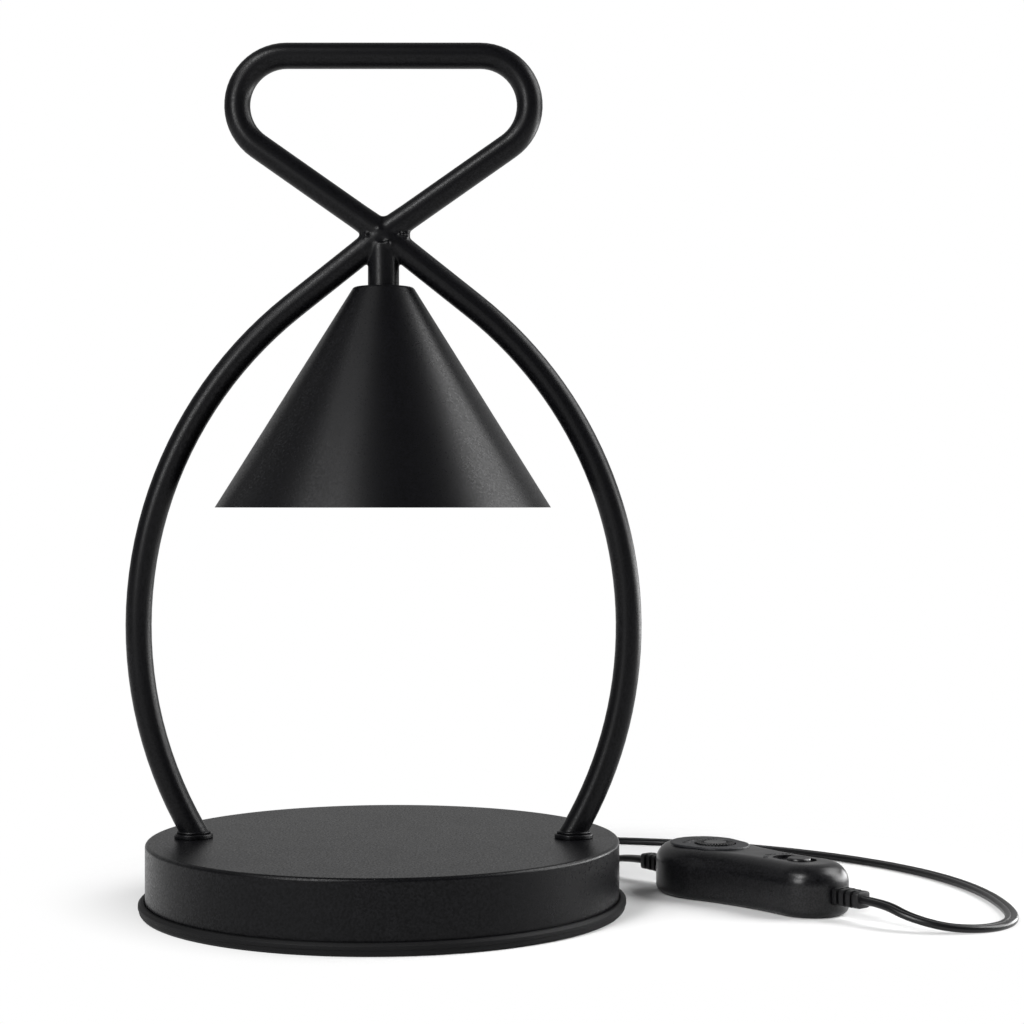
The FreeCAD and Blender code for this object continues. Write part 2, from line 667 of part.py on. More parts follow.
def arc(centre, radius, start, end):
    """An arc from one direction to another, both in radians, the way a clock doesn't turn."""
    round_line = Part.Circle(Vector(centre[0], centre[1], 0), Vector(0, 0, 1), radius)
    return Part.ArcOfCircle(round_line, start, end)


def straight(sketch, start, end):
    return sketch.addGeometry(Part.LineSegment(Vector(*start, 0), Vector(*end, 0)), False)


def fixed_point(sketch, x, y):
    point = sketch.addGeometry(Part.Point(spot(x, y)), True)
    pin(sketch, point, 1, x, y)
    return point


def flow(sketch, first, first_end, second, second_end):
    """Two lines that meet end to end without a corner."""
    sketch.addConstraint(
        Sketcher.Constraint("Tangent", first, first_end, second, second_end)
    )


def hold_leg(sketch, line, bend, foot_end, side):
    """Ties a leg's straight and bend to the crossing, its widest point and its foot."""
    ahead = fixed_point(sketch, side * leg_spread * cosine(d.leg_slope),
                        d.node_height - leg_spread * sine(d.leg_slope))
    sketch.addConstraint(Sketcher.Constraint("PointOnObject", ahead, 1, line))
    foot = fixed_point(sketch, side * d.foot_spread, collar_top)
    sketch.addConstraint(Sketcher.Constraint("PointOnObject", foot, 1, bend))
    widest = sketch.addGeometry(Part.LineSegment(
        spot(side * leg_spread, collar_top), spot(side * leg_spread, d.node_height)
    ), True)
    pin(sketch, widest, 1, side * leg_spread, collar_top)
    pin(sketch, widest, 2, side * leg_spread, d.node_height)
    sketch.addConstraint(Sketcher.Constraint("Tangent", bend, widest))
    rule(sketch, collar_top - foot_extra, "DistanceY", -1, 1, bend, foot_end)


def foot_direction():
    """Direction of the right foot's end from the centre of its bend, in radians."""
    centre_x, centre_z, radius = leg_bend()
    return math.asin(((collar_top - foot_extra).value - centre_z) / radius)


def draw_main_path(sketch):
    """Half the top bar, the right bend, the crossing, the left leg."""
    slope, rise = math.radians(d.leg_slope.value), handle_slope()
    node = (0.0, d.node_height.value)
    bend_at = (d.handle_bend_x.value, handle_centre.value)
    bend = d.handle_bend_radius.value
    lower = (bend_at[0] + bend * math.sin(rise), bend_at[1] - bend * math.cos(rise))
    soft = d.node_bend_radius.value
    cut_back = soft * math.tan((slope - rise) / 2)
    above = (cut_back * math.cos(rise), node[1] + cut_back * math.sin(rise))
    below = (-cut_back * math.cos(slope), node[1] - cut_back * math.sin(slope))
    soft_at = (below[0] + soft * math.sin(slope), below[1] - soft * math.cos(slope))
    centre_x, centre_z, radius = leg_bend()
    hip = (-centre_x - radius * math.sin(slope), centre_z + radius * math.cos(slope))
    top = straight(sketch, (0, handle_top.value), (bend_at[0], handle_top.value))
    right = sketch.addGeometry(arc(bend_at, bend, rise - math.pi / 2, math.pi / 2), False)
    upper = straight(sketch, lower, above)
    kink = sketch.addGeometry(arc(soft_at, soft, rise + math.pi / 2, slope + math.pi / 2), False)
    thigh = straight(sketch, below, hip)
    leg = sketch.addGeometry(
        arc((-centre_x, centre_z), radius, slope + math.pi / 2, math.pi - foot_direction()), False
    )
    pin(sketch, top, 1, 0, handle_top)
    pin(sketch, right, 3, d.handle_bend_x, handle_centre)
    rule(sketch, d.handle_bend_radius, "Radius", right)
    rule(sketch, d.node_bend_radius, "Radius", kink)
    flow(sketch, top, 2, right, 2)
    flow(sketch, right, 1, upper, 1)
    flow(sketch, upper, 2, kink, 1)
    flow(sketch, kink, 2, thigh, 1)
    flow(sketch, thigh, 2, leg, 1)
    crossing = fixed_point(sketch, 0, d.node_height)
    sketch.addConstraint(Sketcher.Constraint("PointOnObject", crossing, 1, upper))
    sketch.addConstraint(Sketcher.Constraint("PointOnObject", crossing, 1, thigh))
    hold_leg(sketch, thigh, leg, 2, -1)
    return 6


def draw_return_path(sketch):
    """Half the top bar, the left bend, the straight back to the crossing."""
    rise = handle_slope()
    bend_at = (-d.handle_bend_x.value, handle_centre.value)
    bend = d.handle_bend_radius.value
    lower = (bend_at[0] - bend * math.sin(rise), bend_at[1] - bend * math.cos(rise))
    top = straight(sketch, (0, handle_top.value), (bend_at[0], handle_top.value))
    left = sketch.addGeometry(arc(bend_at, bend, math.pi / 2, 1.5 * math.pi - rise), False)
    upper = straight(sketch, lower, (0, d.node_height.value))
    pin(sketch, top, 1, 0, handle_top)
    pin(sketch, left, 3, -d.handle_bend_x, handle_centre)
    rule(sketch, d.handle_bend_radius, "Radius", left)
    flow(sketch, top, 2, left, 1)
    flow(sketch, left, 2, upper, 1)
    pin(sketch, upper, 2, 0, d.node_height)
    return 3


def draw_right_leg(sketch):
    """From the crossing down the right leg."""
    slope = math.radians(d.leg_slope.value)
    centre_x, centre_z, radius = leg_bend()
    hip = (centre_x + radius * math.sin(slope), centre_z + radius * math.cos(slope))
    thigh = straight(sketch, (0, d.node_height.value), hip)
    leg = sketch.addGeometry(
        arc((centre_x, centre_z), radius, foot_direction(), math.pi / 2 - slope), False
    )
    pin(sketch, thigh, 1, 0, d.node_height)
    flow(sketch, thigh, 2, leg, 2)
    hold_leg(sketch, thigh, leg, 1, 1)
    return 2


def pipe(body, kind, draw_path, radius, across_top):
    """Sweeps a circle along a path: AdditivePipe adds it, SubtractivePipe cuts it out.
    The circle stands across the handle's top bar, or else across the path's first line."""
    path = new_sketch(body, "XZ_Plane")
    count = draw_path(path)
    settle(path)
    if across_top:
        section = new_sketch(body, "YZ_Plane")
        circle(0, handle_top, radius)(section)
    else:
        section = body.newObject("Sketcher::SketchObject", f"{body.Name}_section")
        section.AttachmentSupport = [(path, "Edge1")]
        section.MapMode = "NormalToEdge"
        circle(0, 0, radius)(section)
    feature = body.newObject(f"PartDesign::{kind}", f"{body.Name}_pipe")
    feature.Profile = section
    feature.Spine = (path, [f"Edge{n + 1}" for n in range(count)])
    return settle(feature)


def trim_foot(body, side):
    """Cuts a leg off level on its collar."""
    spread = d.foot_spread
    cut(body, collar_top - foot_extra * 2, collar_top, rectangle(
        side * spread - foot_extra * 2, side * spread + foot_extra * 2,
        -foot_extra, foot_extra,
    ))


stem_radius = d.stem_od / 2
stem_bore = stem_radius - d.stem_wall
wire_way = d.nipple_bore / 2

# One length of tube makes the left leg, the handle and its way back to the crossing.
frame = new_body("frame_tube")
pipe(frame, "AdditivePipe", draw_main_path, tube_radius, True)
frame_solid = pipe(frame, "AdditivePipe", draw_return_path, tube_radius, True)
pipe(frame, "SubtractivePipe", draw_main_path, tube_bore, True)
pipe(frame, "SubtractivePipe", draw_return_path, tube_bore, True)
trim_foot(frame, -1)
cut(frame, d.node_height - d.tube_od, d.node_height, circle(0, 0, wire_way))

# The right leg is coped round the first tube and welded to it.
right_blank = new_body("right_leg_blank")
pieces.remove(right_blank)
right_solid = pipe(right_blank, "AdditivePipe", draw_right_leg, tube_radius, False)
pipe(right_blank, "SubtractivePipe", draw_right_leg, tube_bore, False)
trim_foot(right_blank, 1)
cut(right_blank, d.node_height - d.tube_od, d.node_height, circle(0, 0, wire_way))


def coped(label, base, *tools):
    """A tube whose end is cut to fit round the tubes it is welded to."""
    for n, tool in enumerate(tools, start=1):
        last = n == len(tools)
        fit = doc.addObject("Part::Cut", label if last else f"{label}_cope_{n}")
        fit.Base = base
        fit.Tool = tool
        settle(fit)
        base = fit
    base.Label = label
    pieces.append(base)
    return base


right_leg = coped("right_leg_tube", right_blank, frame_solid)

stem_blank = new_body("stem_blank")
pieces.remove(stem_blank)
add(stem_blank, shade_top, d.node_height - d.stem_top_drop, circle(0, 0, stem_radius))
cut(stem_blank, shade_top, d.node_height - d.stem_top_drop, circle(0, 0, stem_bore))
stem = coped("stem_tube", stem_blank, frame_solid, right_solid)


def weld_wedge(first, second, hollow):
    """The filler in the corner between two tubes that leave the crossing: each is its
    direction in radians and its radius. The radius of its hollow free side comes last."""
    lines = []
    for (angle, radius), side in ((first, 1), (second, -1)):
        along = Vector(math.cos(angle), 0, math.sin(angle))
        out = Vector(-math.sin(angle) * side, 0, math.cos(angle) * side)
        lines.append((along, out, radius))
    (u, n, r), (v, m, q) = lines
    gap = m * (q + hollow) - n * (r + hollow)
    share = (gap.x * -v.z + gap.z * v.x) / (u.x * -v.z + u.z * v.x)
    centre = u * share + n * (r + hollow)
    touch_first, touch_second = centre - n * hollow, centre - m * hollow
    deepest = centre - (n + m).normalize() * hollow
    outline = Part.Wire([
        Part.LineSegment(Vector(), touch_first).toShape(),
        Part.Arc(touch_first, deepest, touch_second).toShape(),
        Part.LineSegment(touch_second, Vector()).toShape(),
    ])
    wedge = Part.Face(outline).extrude(Vector(0, 2 * d.weld_half_width.value, 0))
    wedge.translate(Vector(0, -d.weld_half_width.value, d.node_height.value))
    return wedge


slope, rise = math.radians(d.leg_slope.value), handle_slope()
around_node = [
    (rise, tube_radius.value), (math.pi - rise, tube_radius.value),
    (math.pi + slope, tube_radius.value), (1.5 * math.pi, stem_radius.value),
    (2 * math.pi - slope, tube_radius.value), (2 * math.pi + rise, tube_radius.value),
]
stem_core = Part.makeCylinder(
    stem_radius.value, (d.node_height - shade_top).value, Vector(0, 0, shade_top.value)
)
smallest_bead = 0.5  # mm3: what a tube leaves of a wedge on its far side is smaller
beads = []
for first, second in zip(around_node, around_node[1:]):
    in_handle = first == around_node[0]
    size = d.weld_top_radius if in_handle else d.weld_side_radius
    bead = weld_wedge(first, second, size.value)
    for tube in (frame_solid.Shape, right_solid.Shape, stem_core):
        bead = bead.cut(tube)
    beads.extend(solid for solid in bead.Solids if solid.Volume > smallest_bead)
shaped("weld_beads", Part.makeCompound(beads))

for label, side in (("left_foot_collar", -1), ("right_foot_collar", 1)):
    collar = new_body(label)
    rim = d.collar_diameter / 2
    turn(collar, sides([
        (d.stud_bore / 2, d.base_top - d.stud_length),
        (d.stud_diameter / 2, d.base_top - d.stud_length), (d.stud_diameter / 2, d.base_top),
        (rim, d.base_top), (rim, collar_top - d.collar_chamfer),
        (rim - d.collar_chamfer, collar_top), (d.stud_bore / 2, collar_top),
    ]), across=side * d.foot_spread)

foot_spots = [(-d.foot_spread, 0), (d.foot_spread, 0)]
washer_bottom = pan_ceiling - d.foot_washer_thickness
washers = new_body("foot_washers")
add(washers, washer_bottom, pan_ceiling,
    *(circle(x, y, d.foot_washer_diameter / 2) for x, y in foot_spots))
cut(washers, washer_bottom, pan_ceiling, *(circle(x, y, foot_hole) for x, y in foot_spots))

nuts = new_body("foot_nuts")
add(nuts, washer_bottom - d.foot_nut_height, washer_bottom,
    *(hexagon(x, y, d.foot_nut_flats) for x, y in foot_spots))
cut(nuts, washer_bottom - d.foot_nut_height, washer_bottom,
    *(circle(x, y, d.stud_diameter / 2) for x, y in foot_spots))


# ---- shade and lamp holder -------------------------------------------------------------

nipple_radius = d.nipple_diameter / 2
nipple_hole = nipple_radius + d.hole_clearance
cap_radius = d.shade_cap_diameter / 2
rim_radius = d.shade_rim_diameter / 2
rim_height = shade_top - d.shade_height
cone_run = rim_radius - cap_radius
cone_side = root(cone_run * cone_run + d.shade_height * d.shade_height)
wall_across = d.shade_wall * cone_side / d.shade_height
cap_under = shade_top - d.shade_wall
cap_inside = cap_radius - wall_across + d.shade_wall * cone_run / d.shade_height

shade = new_body("lamp_shade")
turn(shade, sides([
    (nipple_hole, cap_under), (cap_inside, cap_under), (rim_radius - wall_across, rim_height),
    (rim_radius, rim_height), (cap_radius, shade_top), (nipple_hole, shade_top),
]))
soften(shade, "Fillet", d.shade_cap_radius,
       lambda edge: level(edge, shade_top) and reach_of(edge) > nipple_hole.value + 1)

washer_under = cap_under - d.shade_washer_thickness
bracket_under = washer_under - d.bracket_sheet
nut_under = bracket_under - d.shade_nut_height
nipple = new_body("shade_nipple")
turn(nipple, sides([
    (wire_way, nut_under - d.nipple_below_nut),
    (nipple_radius, nut_under - d.nipple_below_nut),
    (nipple_radius, shade_top + d.nipple_above), (wire_way, shade_top + d.nipple_above),
]))

lock_washer = new_body("shade_washer")
add(lock_washer, washer_under, cap_under, circle(0, 0, d.shade_washer_diameter / 2))
cut(lock_washer, washer_under, cap_under, circle(0, 0, nipple_hole))

shade_nut = new_body("shade_nut")
add(shade_nut, nut_under, bracket_under, hexagon(0, 0, d.shade_nut_flats))
cut(shade_nut, nut_under, bracket_under, circle(0, 0, nipple_radius))

# Hat-shaped strip: its top is clamped by the nipple's nut, its feet carry the holder.
holder_top = washer_under - d.bracket_drop
span, sheet = d.bracket_half_span, d.bracket_sheet
foot_tip = span + d.bracket_foot
bracket = new_body("holder_bracket")
add(bracket, -d.bracket_width / 2, d.bracket_width / 2, sides([
    (-span, washer_under), (-span, holder_top + sheet), (-foot_tip, holder_top + sheet),
    (-foot_tip, holder_top), (-span + sheet, holder_top), (-span + sheet, bracket_under),
    (span - sheet, bracket_under), (span - sheet, holder_top), (foot_tip, holder_top),
    (foot_tip, holder_top + sheet), (span, holder_top + sheet), (span, washer_under),
]), role="XZ_Plane")
holder_spots = [(-d.holder_screw_place, 0), (d.holder_screw_place, 0)]
screw_hole = d.holder_screw_diameter / 2 + d.hole_clearance
cut(bracket, bracket_under, washer_under, circle(0, 0, nipple_hole))
cut(bracket, holder_top, holder_top + sheet, *(circle(x, y, screw_hole) for x, y in holder_spots))

holder_radius = d.holder_diameter / 2
cover_under = holder_top - d.holder_cap_height
cover = new_body("holder_cover")
add(cover, cover_under, holder_top, circle(0, 0, holder_radius))
cut(cover, cover_under, holder_top, circle(0, 0, d.lead_diameter / 2 + d.hole_clearance),
    *(circle(x, y, screw_hole) for x, y in holder_spots))

# Ceramic body: keyhole slots in its floor take the heads of the lamp's pins and lock them.
holder_face = cover_under - d.holder_height
floor_top = holder_face + d.holder_floor
pin_place = d.pin_pitch / 2
slot_half = d.pin_diameter / 2 + d.pin_clearance
entry_radius = d.pin_head_diameter / 2 + d.pin_clearance
entry_x = pin_place * cosine(d.lock_angle)
entry_y = -pin_place * sine(d.lock_angle)
across_x = slot_half * cosine(d.lock_angle / 2)
across_y = -slot_half * sine(d.lock_angle / 2)
slot_screw = d.holder_screw_diameter / 2
holder = new_body("lamp_holder")
add(holder, holder_face, cover_under, circle(0, 0, holder_radius))
cut(holder, floor_top, cover_under, circle(0, 0, d.holder_cavity / 2))
add(holder, floor_top, cover_under, rectangle(
    -d.holder_divider / 2, d.holder_divider / 2, -d.holder_cavity / 2, d.holder_cavity / 2))
cut(holder, holder_face, floor_top,
    *(circle(side * entry_x, side * entry_y, entry_radius) for side in (-1, 1)))
cut(holder, holder_face, floor_top, *(sides([
    (side * (entry_x - across_x), side * (entry_y - across_y)),
    (side * (entry_x + across_x), side * (entry_y + across_y)),
    (side * (pin_place + across_x), side * across_y),
    (side * (pin_place - across_x), -side * across_y),
]) for side in (-1, 1)))
cut(holder, holder_face, floor_top,
    *(circle(side * pin_place, 0, slot_half) for side in (-1, 1)))
screw_tip = holder_top + sheet - d.holder_screw_length
cut(holder, screw_tip, cover_under, *(circle(x, y, slot_screw) for x, y in holder_spots))

holder_screws = new_body("holder_screws")
add(holder_screws, holder_top + sheet, holder_top + sheet + d.holder_screw_head_height,
    *(circle(x, y, d.holder_screw_head / 2) for x, y in holder_spots))
add(holder_screws, screw_tip, holder_top + sheet,
    *(circle(x, y, slot_screw) for x, y in holder_spots))

# Lamp, hanging by its pins in the holder.
lamp_top = holder_face - d.pin_clearance
head_under = floor_top + d.pin_clearance
head_top = head_under + d.pin_head_height
pin_spots = [(-pin_place, 0), (pin_place, 0)]
pins = new_body("bulb_pins")
add(pins, lamp_top, head_under, *(circle(x, y, d.pin_diameter / 2) for x, y in pin_spots))
add(pins, head_under, head_top, *(circle(x, y, d.pin_head_diameter / 2) for x, y in pin_spots))

contact_under = head_top + d.pin_clearance
contacts = new_body("holder_contacts")
add(contacts, -d.contact_width / 2, d.contact_width / 2, *(sides([
    (side * (pin_place - d.contact_reach / 2), contact_under),
    (side * (pin_place + d.contact_reach / 2), contact_under),
    (side * (pin_place + d.contact_reach / 2), cover_under),
    (side * (pin_place + d.contact_reach / 2 - d.contact_sheet), cover_under),
    (side * (pin_place + d.contact_reach / 2 - d.contact_sheet), contact_under + d.contact_sheet),
    (side * (pin_place - d.contact_reach / 2), contact_under + d.contact_sheet),
]) for side in (-1, 1)), role="XZ_Plane")

lamp_base_radius = d.lamp_base_diameter / 2
neck_top = lamp_top - d.lamp_base_height
lamp_base = new_body("bulb_base")
add(lamp_base, neck_top, lamp_top, circle(0, 0, lamp_base_radius))
soften(lamp_base, "Chamfer", d.collar_chamfer, lambda edge: level(edge, lamp_top))

lamp_radius = d.lamp_diameter / 2
neck_bottom = neck_top - d.lamp_neck_height
rim_bottom = neck_top - d.reflector_height
rim_top = rim_bottom + d.reflector_rim
neck_radius = lamp_base_radius - d.pin_clearance
reflector = new_body("bulb_reflector")
turn(reflector, sides([
    (neck_radius - d.reflector_wall, neck_top), (neck_radius - d.reflector_wall, neck_bottom),
    (lamp_radius - d.reflector_wall, rim_top), (lamp_radius - d.reflector_wall, rim_bottom),
    (lamp_radius, rim_bottom), (lamp_radius, rim_top), (neck_radius, neck_bottom),
    (neck_radius, neck_top),
], {1: d.reflector_bow - d.reflector_wall, 5: -d.reflector_bow}))

front_glass = new_body("bulb_front_glass")
add(front_glass, rim_bottom - d.front_glass_thickness, rim_bottom, circle(0, 0, lamp_radius))
soften(front_glass, "Fillet", d.front_glass_edge,
       lambda edge: level(edge, rim_bottom - d.front_glass_thickness))

# Halogen capsule, hollow below its pinched seal; the seal is cemented into the ceramic base.
seal_radius = d.capsule_seal_diameter / 2
seal_bottom = neck_top - d.capsule_seal_length
capsule_radius = d.capsule_diameter / 2
capsule_hollow = capsule_radius - d.capsule_wall
capsule_bottom = seal_bottom - d.capsule_length
capsule = new_body("bulb_capsule")
turn(capsule, sides([
    (0, capsule_bottom), (capsule_radius, capsule_bottom + capsule_radius),
    (capsule_radius, seal_bottom), (seal_radius, seal_bottom), (seal_radius, neck_top),
    (0, neck_top), (0, seal_bottom - d.capsule_wall),
    (capsule_hollow, seal_bottom - d.capsule_wall),
    (capsule_hollow, capsule_bottom + capsule_radius), (0, capsule_bottom + d.capsule_wall),
], {0: -capsule_radius, 8: capsule_hollow}))

filament_top = seal_bottom - d.capsule_wall
filament_height = filament_top - d.filament_drop
filament = new_body("bulb_filament")
add(filament, filament_height, filament_top,
    *(circle(side * d.filament_width / 2, 0, d.filament_wire / 2) for side in (-1, 1)))
add(filament, -d.filament_width / 2, d.filament_width / 2,
    circle(0, filament_height, d.filament_diameter / 2), role="YZ_Plane")


# ---- in-line timer and dimmer ----------------------------------------------------------
# Each piece is made in the dimmer's own axes, +Y towards its wide end, and laid in place.

turned_sine, turned_cosine = sine(d.dimmer_turn), cosine(d.dimmer_turn)


def on_table(x, y):
    """Where a point of the dimmer lies, as Sizes."""
    return (d.dimmer_x + x * turned_cosine - y * turned_sine,
            d.dimmer_y + x * turned_sine + y * turned_cosine)


def lay(thing, x=0, y=0):
    """Lays a piece of the dimmer on the table, its origin at a point of the dimmer."""
    place_x, place_y = on_table(as_size(x), as_size(y))
    thing.Placement = Placement(
        Vector(place_x.value, place_y.value, 0), Rotation(Vector(0, 0, 1), d.dimmer_turn.value)
    )
    bind(thing, "Placement.Base.x", place_x)
    bind(thing, "Placement.Base.y", place_y)
    bind(thing, "Placement.Rotation.Angle", d.dimmer_turn)
    return thing


half_case = d.case_length / 2
nose_y = half_case - d.case_nose_radius
shoulder_y = half_case - d.case_widest
tail_y = d.case_tail_radius - half_case


def case_outline(inset):
    """Draws the case's outline: six arcs without a corner, set in by inset."""
    def draw(sketch):
        inward = as_size(inset)
        nose, tail_round = d.case_nose_radius.value, d.case_tail_radius.value
        half_width, waist = d.case_width.value / 2, d.case_waist_radius.value
        dip = (nose_y - shoulder_y).value
        shoulder = (half_width ** 2 + dip ** 2 - nose ** 2) / (2 * (half_width - nose))
        over = shoulder - half_width
        # the waist's centre is one radius past both the shoulder and the tail
        far, near = shoulder + waist, tail_round + waist
        base = math.hypot(over, (shoulder_y - tail_y).value)
        along = (near ** 2 - far ** 2 + base ** 2) / (2 * base)
        aside = math.sqrt(near ** 2 - along ** 2)
        ux, uy = -over / base, (shoulder_y - tail_y).value / base
        waist_x = ux * along + uy * aside
        waist_y = tail_y.value + uy * along - ux * aside
        to_nose = math.atan2(dip, over)
        to_waist = math.atan2(waist_y - shoulder_y.value, waist_x + over)
        from_tail = math.atan2(waist_y - tail_y.value, waist_x)
        i = inward.value
        lines = [
            arc((0, nose_y.value), nose - i, to_nose, math.pi - to_nose),
            arc((over, shoulder_y.value), shoulder - i, math.pi - to_nose, math.pi - to_waist),
            arc((-waist_x, waist_y), waist + i, -from_tail, -to_waist),
            arc((0, tail_y.value), tail_round - i, math.pi - from_tail, 2 * math.pi + from_tail),
            arc((waist_x, waist_y), waist + i, math.pi + to_waist, math.pi + from_tail),
            arc((-over, shoulder_y.value), shoulder - i, to_waist, to_nose),
        ]
        tip, left, left_waist, tail_end, right_waist, right = (
            sketch.addGeometry(line, False) for line in lines
        )
        pin(sketch, tip, 3, 0, nose_y)
        rule(sketch, d.case_nose_radius - inward, "Radius", tip)
        pin(sketch, tail_end, 3, 0, tail_y)
        rule(sketch, d.case_tail_radius - inward, "Radius", tail_end)
        for side, line, waist_line in ((-1, left, left_waist), (1, right, right_waist)):
            widest = side * (d.case_width / 2 - inward)
            edge = sketch.addGeometry(
                Part.LineSegment(spot(widest, tail_y), spot(widest, nose_y)), True
            )
            pin(sketch, edge, 1, widest, tail_y)
            pin(sketch, edge, 2, widest, nose_y)
            sketch.addConstraint(Sketcher.Constraint("Tangent", line, edge))
            rule(sketch, shoulder_y, "DistanceY", -1, 1, line, 3)
            rule(sketch, d.case_waist_radius + inward, "Radius", waist_line)
        flow(sketch, tip, 2, left, 1)
        flow(sketch, left, 2, left_waist, 2)
        flow(sketch, left_waist, 1, tail_end, 1)
        flow(sketch, tail_end, 2, right_waist, 2)
        flow(sketch, right_waist, 1, right, 1)
        flow(sketch, right, 2, tip, 1)
    return draw


def rounded_slot(y_low, y_high, half_width):
    """Draws a slot along Y with round ends."""
    low, high = y_low + half_width, y_high - half_width
    return sides([
        (half_width, low), (half_width, high), (0, y_high), (-half_width, high),
        (-half_width, low), (0, y_low),
    ], {1: -half_width, 2: -half_width, 4: -half_width, 5: -half_width})


dial_y = half_case - d.dial_place
button_y = half_case - d.button_place
face_top = d.case_height + d.face_rise
roof_under = d.case_height - d.case_roof
dial_top = face_top + d.dial_rise
dial_bottom = dial_top - d.dial_thickness
well_floor = dial_bottom - d.dial_under
recess_floor = d.case_height - d.recess_depth
recess_top_y = half_case - d.recess_start
board_bottom = d.case_floor + d.board_above_floor
board_top = board_bottom + d.board_thickness
boss_spots = [
    (side * x, y) for side in (-1, 1)
    for x, y in ((d.boss_nose_x, d.boss_nose_y), (d.boss_tail_x, d.boss_tail_y))
]


def lights(circle_radius, middle_y, angles):
    """Places of the lights around the dial or the button, by their angle from +Y."""
    return [(circle_radius * sine(a), middle_y + circle_radius * cosine(a)) for a in angles]


timer_lights = lights(d.timer_light_circle, dial_y,
                      [d.dial_first + n * d.dial_click for n in range(4)])
dimmer_lights = lights(d.dimmer_light_circle, button_y,
                       [n * d.dimmer_light_pitch for n in (-1, 0, 1)])
light_hole = d.light_diameter / 2 + d.light_clearance
wire_slot = d.relief_neck_width / 2 + d.light_clearance
wire_slot_height = d.relief_neck_height / 2 + d.light_clearance
wall_inside = half_case - d.case_wall


def cord_slots(body, bottom, top):
    """Openings for the strain reliefs in the two ends of a shell."""
    for side in (-1, 1):
        low, high = side * (wall_inside - d.case_wall), side * (half_case + d.case_wall)
        cut(body, bottom, top, rectangle(-wire_slot, wire_slot,
                                         *(sorted((low, high), key=lambda size: size.value))))


face_upper = half_case - d.face_start - d.face_radius
face_lower = half_case - d.face_end + d.face_end_radius
lean = (d.face_end_radius - d.face_radius) / (face_upper - face_lower)
level_part = root(1 - lean * lean)

top_shell = new_body("dimmer_case_top")
add(top_shell, d.case_split, d.case_height, case_outline(0))
soften(top_shell, "Fillet", d.case_top_round, lambda edge: level(edge, d.case_height))
add(top_shell, roof_under, face_top, sides([
    (d.face_radius * level_part, face_upper + d.face_radius * lean),
    (0, face_upper + d.face_radius),
    (-d.face_radius * level_part, face_upper + d.face_radius * lean),
    (-d.face_end_radius * level_part, face_lower + d.face_end_radius * lean),
    (d.face_end_radius * level_part, face_lower + d.face_end_radius * lean),
], {0: -d.face_radius, 1: -d.face_radius, 3: -d.face_end_radius}))
soften(top_shell, "Fillet", d.face_round, lambda edge: level(edge, face_top))
cut(top_shell, d.case_split, roof_under, case_outline(d.case_wall))
add(top_shell, d.case_split, roof_under,
    *(circle(x, y, d.boss_diameter / 2) for x, y in boss_spots))
cut(top_shell, d.case_split, d.case_split + d.case_screw_bite,
    *(circle(x, y, d.case_screw_diameter / 2) for x, y in boss_spots))
cut(top_shell, well_floor, face_top, circle(0, dial_y, d.dial_diameter / 2 + d.dial_gap))
cut(top_shell, roof_under, well_floor,
    circle(0, dial_y, d.spindle_diameter / 2 + d.spindle_clearance))
cut(top_shell, recess_floor, d.case_height,
    rounded_slot(recess_top_y - d.recess_length, recess_top_y, d.recess_width / 2))
cut(top_shell, roof_under, recess_floor,
    circle(0, button_y, d.button_diameter / 2 + d.button_gap))
cut(top_shell, roof_under, face_top,
    *(circle(x, y, light_hole) for x, y in timer_lights + dimmer_lights))
cord_slots(top_shell, d.case_split, d.case_split + wire_slot_height)

bottom_shell = new_body("dimmer_case_bottom")
add(bottom_shell, 0, d.case_split, case_outline(0))
soften(bottom_shell, "Fillet", d.case_bottom_round, lambda edge: level(edge, 0))
cut(bottom_shell, d.case_floor, d.case_split, case_outline(d.case_wall))
add(bottom_shell, d.case_floor, d.case_split,
    *(circle(x, y, d.boss_diameter / 2) for x, y in boss_spots))
add(bottom_shell, d.case_floor, board_bottom, *(
    circle(side * d.peg_x, y, d.peg_diameter / 2) for side in (-1, 1)
    for y in (d.board_front + d.peg_inset, d.board_back - d.peg_inset)
))
cut(bottom_shell, d.case_screw_sunk, d.case_split,
    *(circle(x, y, d.case_screw_diameter / 2 + d.hole_clearance) for x, y in boss_spots))
cut(bottom_shell, 0, d.case_screw_sunk,
    *(circle(x, y, d.case_screw_head / 2 + d.hole_clearance) for x, y in boss_spots))
cord_slots(bottom_shell, d.case_split - wire_slot_height, d.case_split)

case_screws = new_body("dimmer_screws")
add(case_screws, d.case_screw_sunk - d.case_screw_head_height, d.case_screw_sunk,
    *(circle(x, y, d.case_screw_head / 2) for x, y in boss_spots))
add(case_screws, d.case_screw_sunk, d.case_split + d.case_screw_bite,
    *(circle(x, y, d.case_screw_diameter / 2) for x, y in boss_spots))

board = new_body("dimmer_board")
half_board, half_tongue = d.board_width / 2, d.board_tongue_width / 2
board_end = d.board_back + d.board_tongue
add(board, board_bottom, board_top, sides([
    (-half_board, d.board_front), (half_board, d.board_front), (half_board, d.board_back),
    (half_tongue, d.board_back), (half_tongue, board_end), (-half_tongue, board_end),
    (-half_tongue, d.board_back), (-half_board, d.board_back),
]))

leds = new_body("indicator_leds")
led_top = board_top + d.led_height
add(leds, board_top, led_top, *(
    rectangle(x - d.led_side / 2, x + d.led_side / 2, y - d.led_side / 2, y + d.led_side / 2)
    for x, y in timer_lights + dimmer_lights
))
pipes = new_body("light_pipes")
add(pipes, led_top, face_top, *(circle(x, y, d.light_diameter / 2) for x, y in timer_lights))
add(pipes, led_top, recess_floor,
    *(circle(x, y, d.light_diameter / 2) for x, y in dimmer_lights))


def block_on_board(label, y, length, width, height):
    piece = new_body(label)
    add(piece, board_top, board_top + height,
        rectangle(-length / 2, length / 2, y - width / 2, y + width / 2))
    return piece


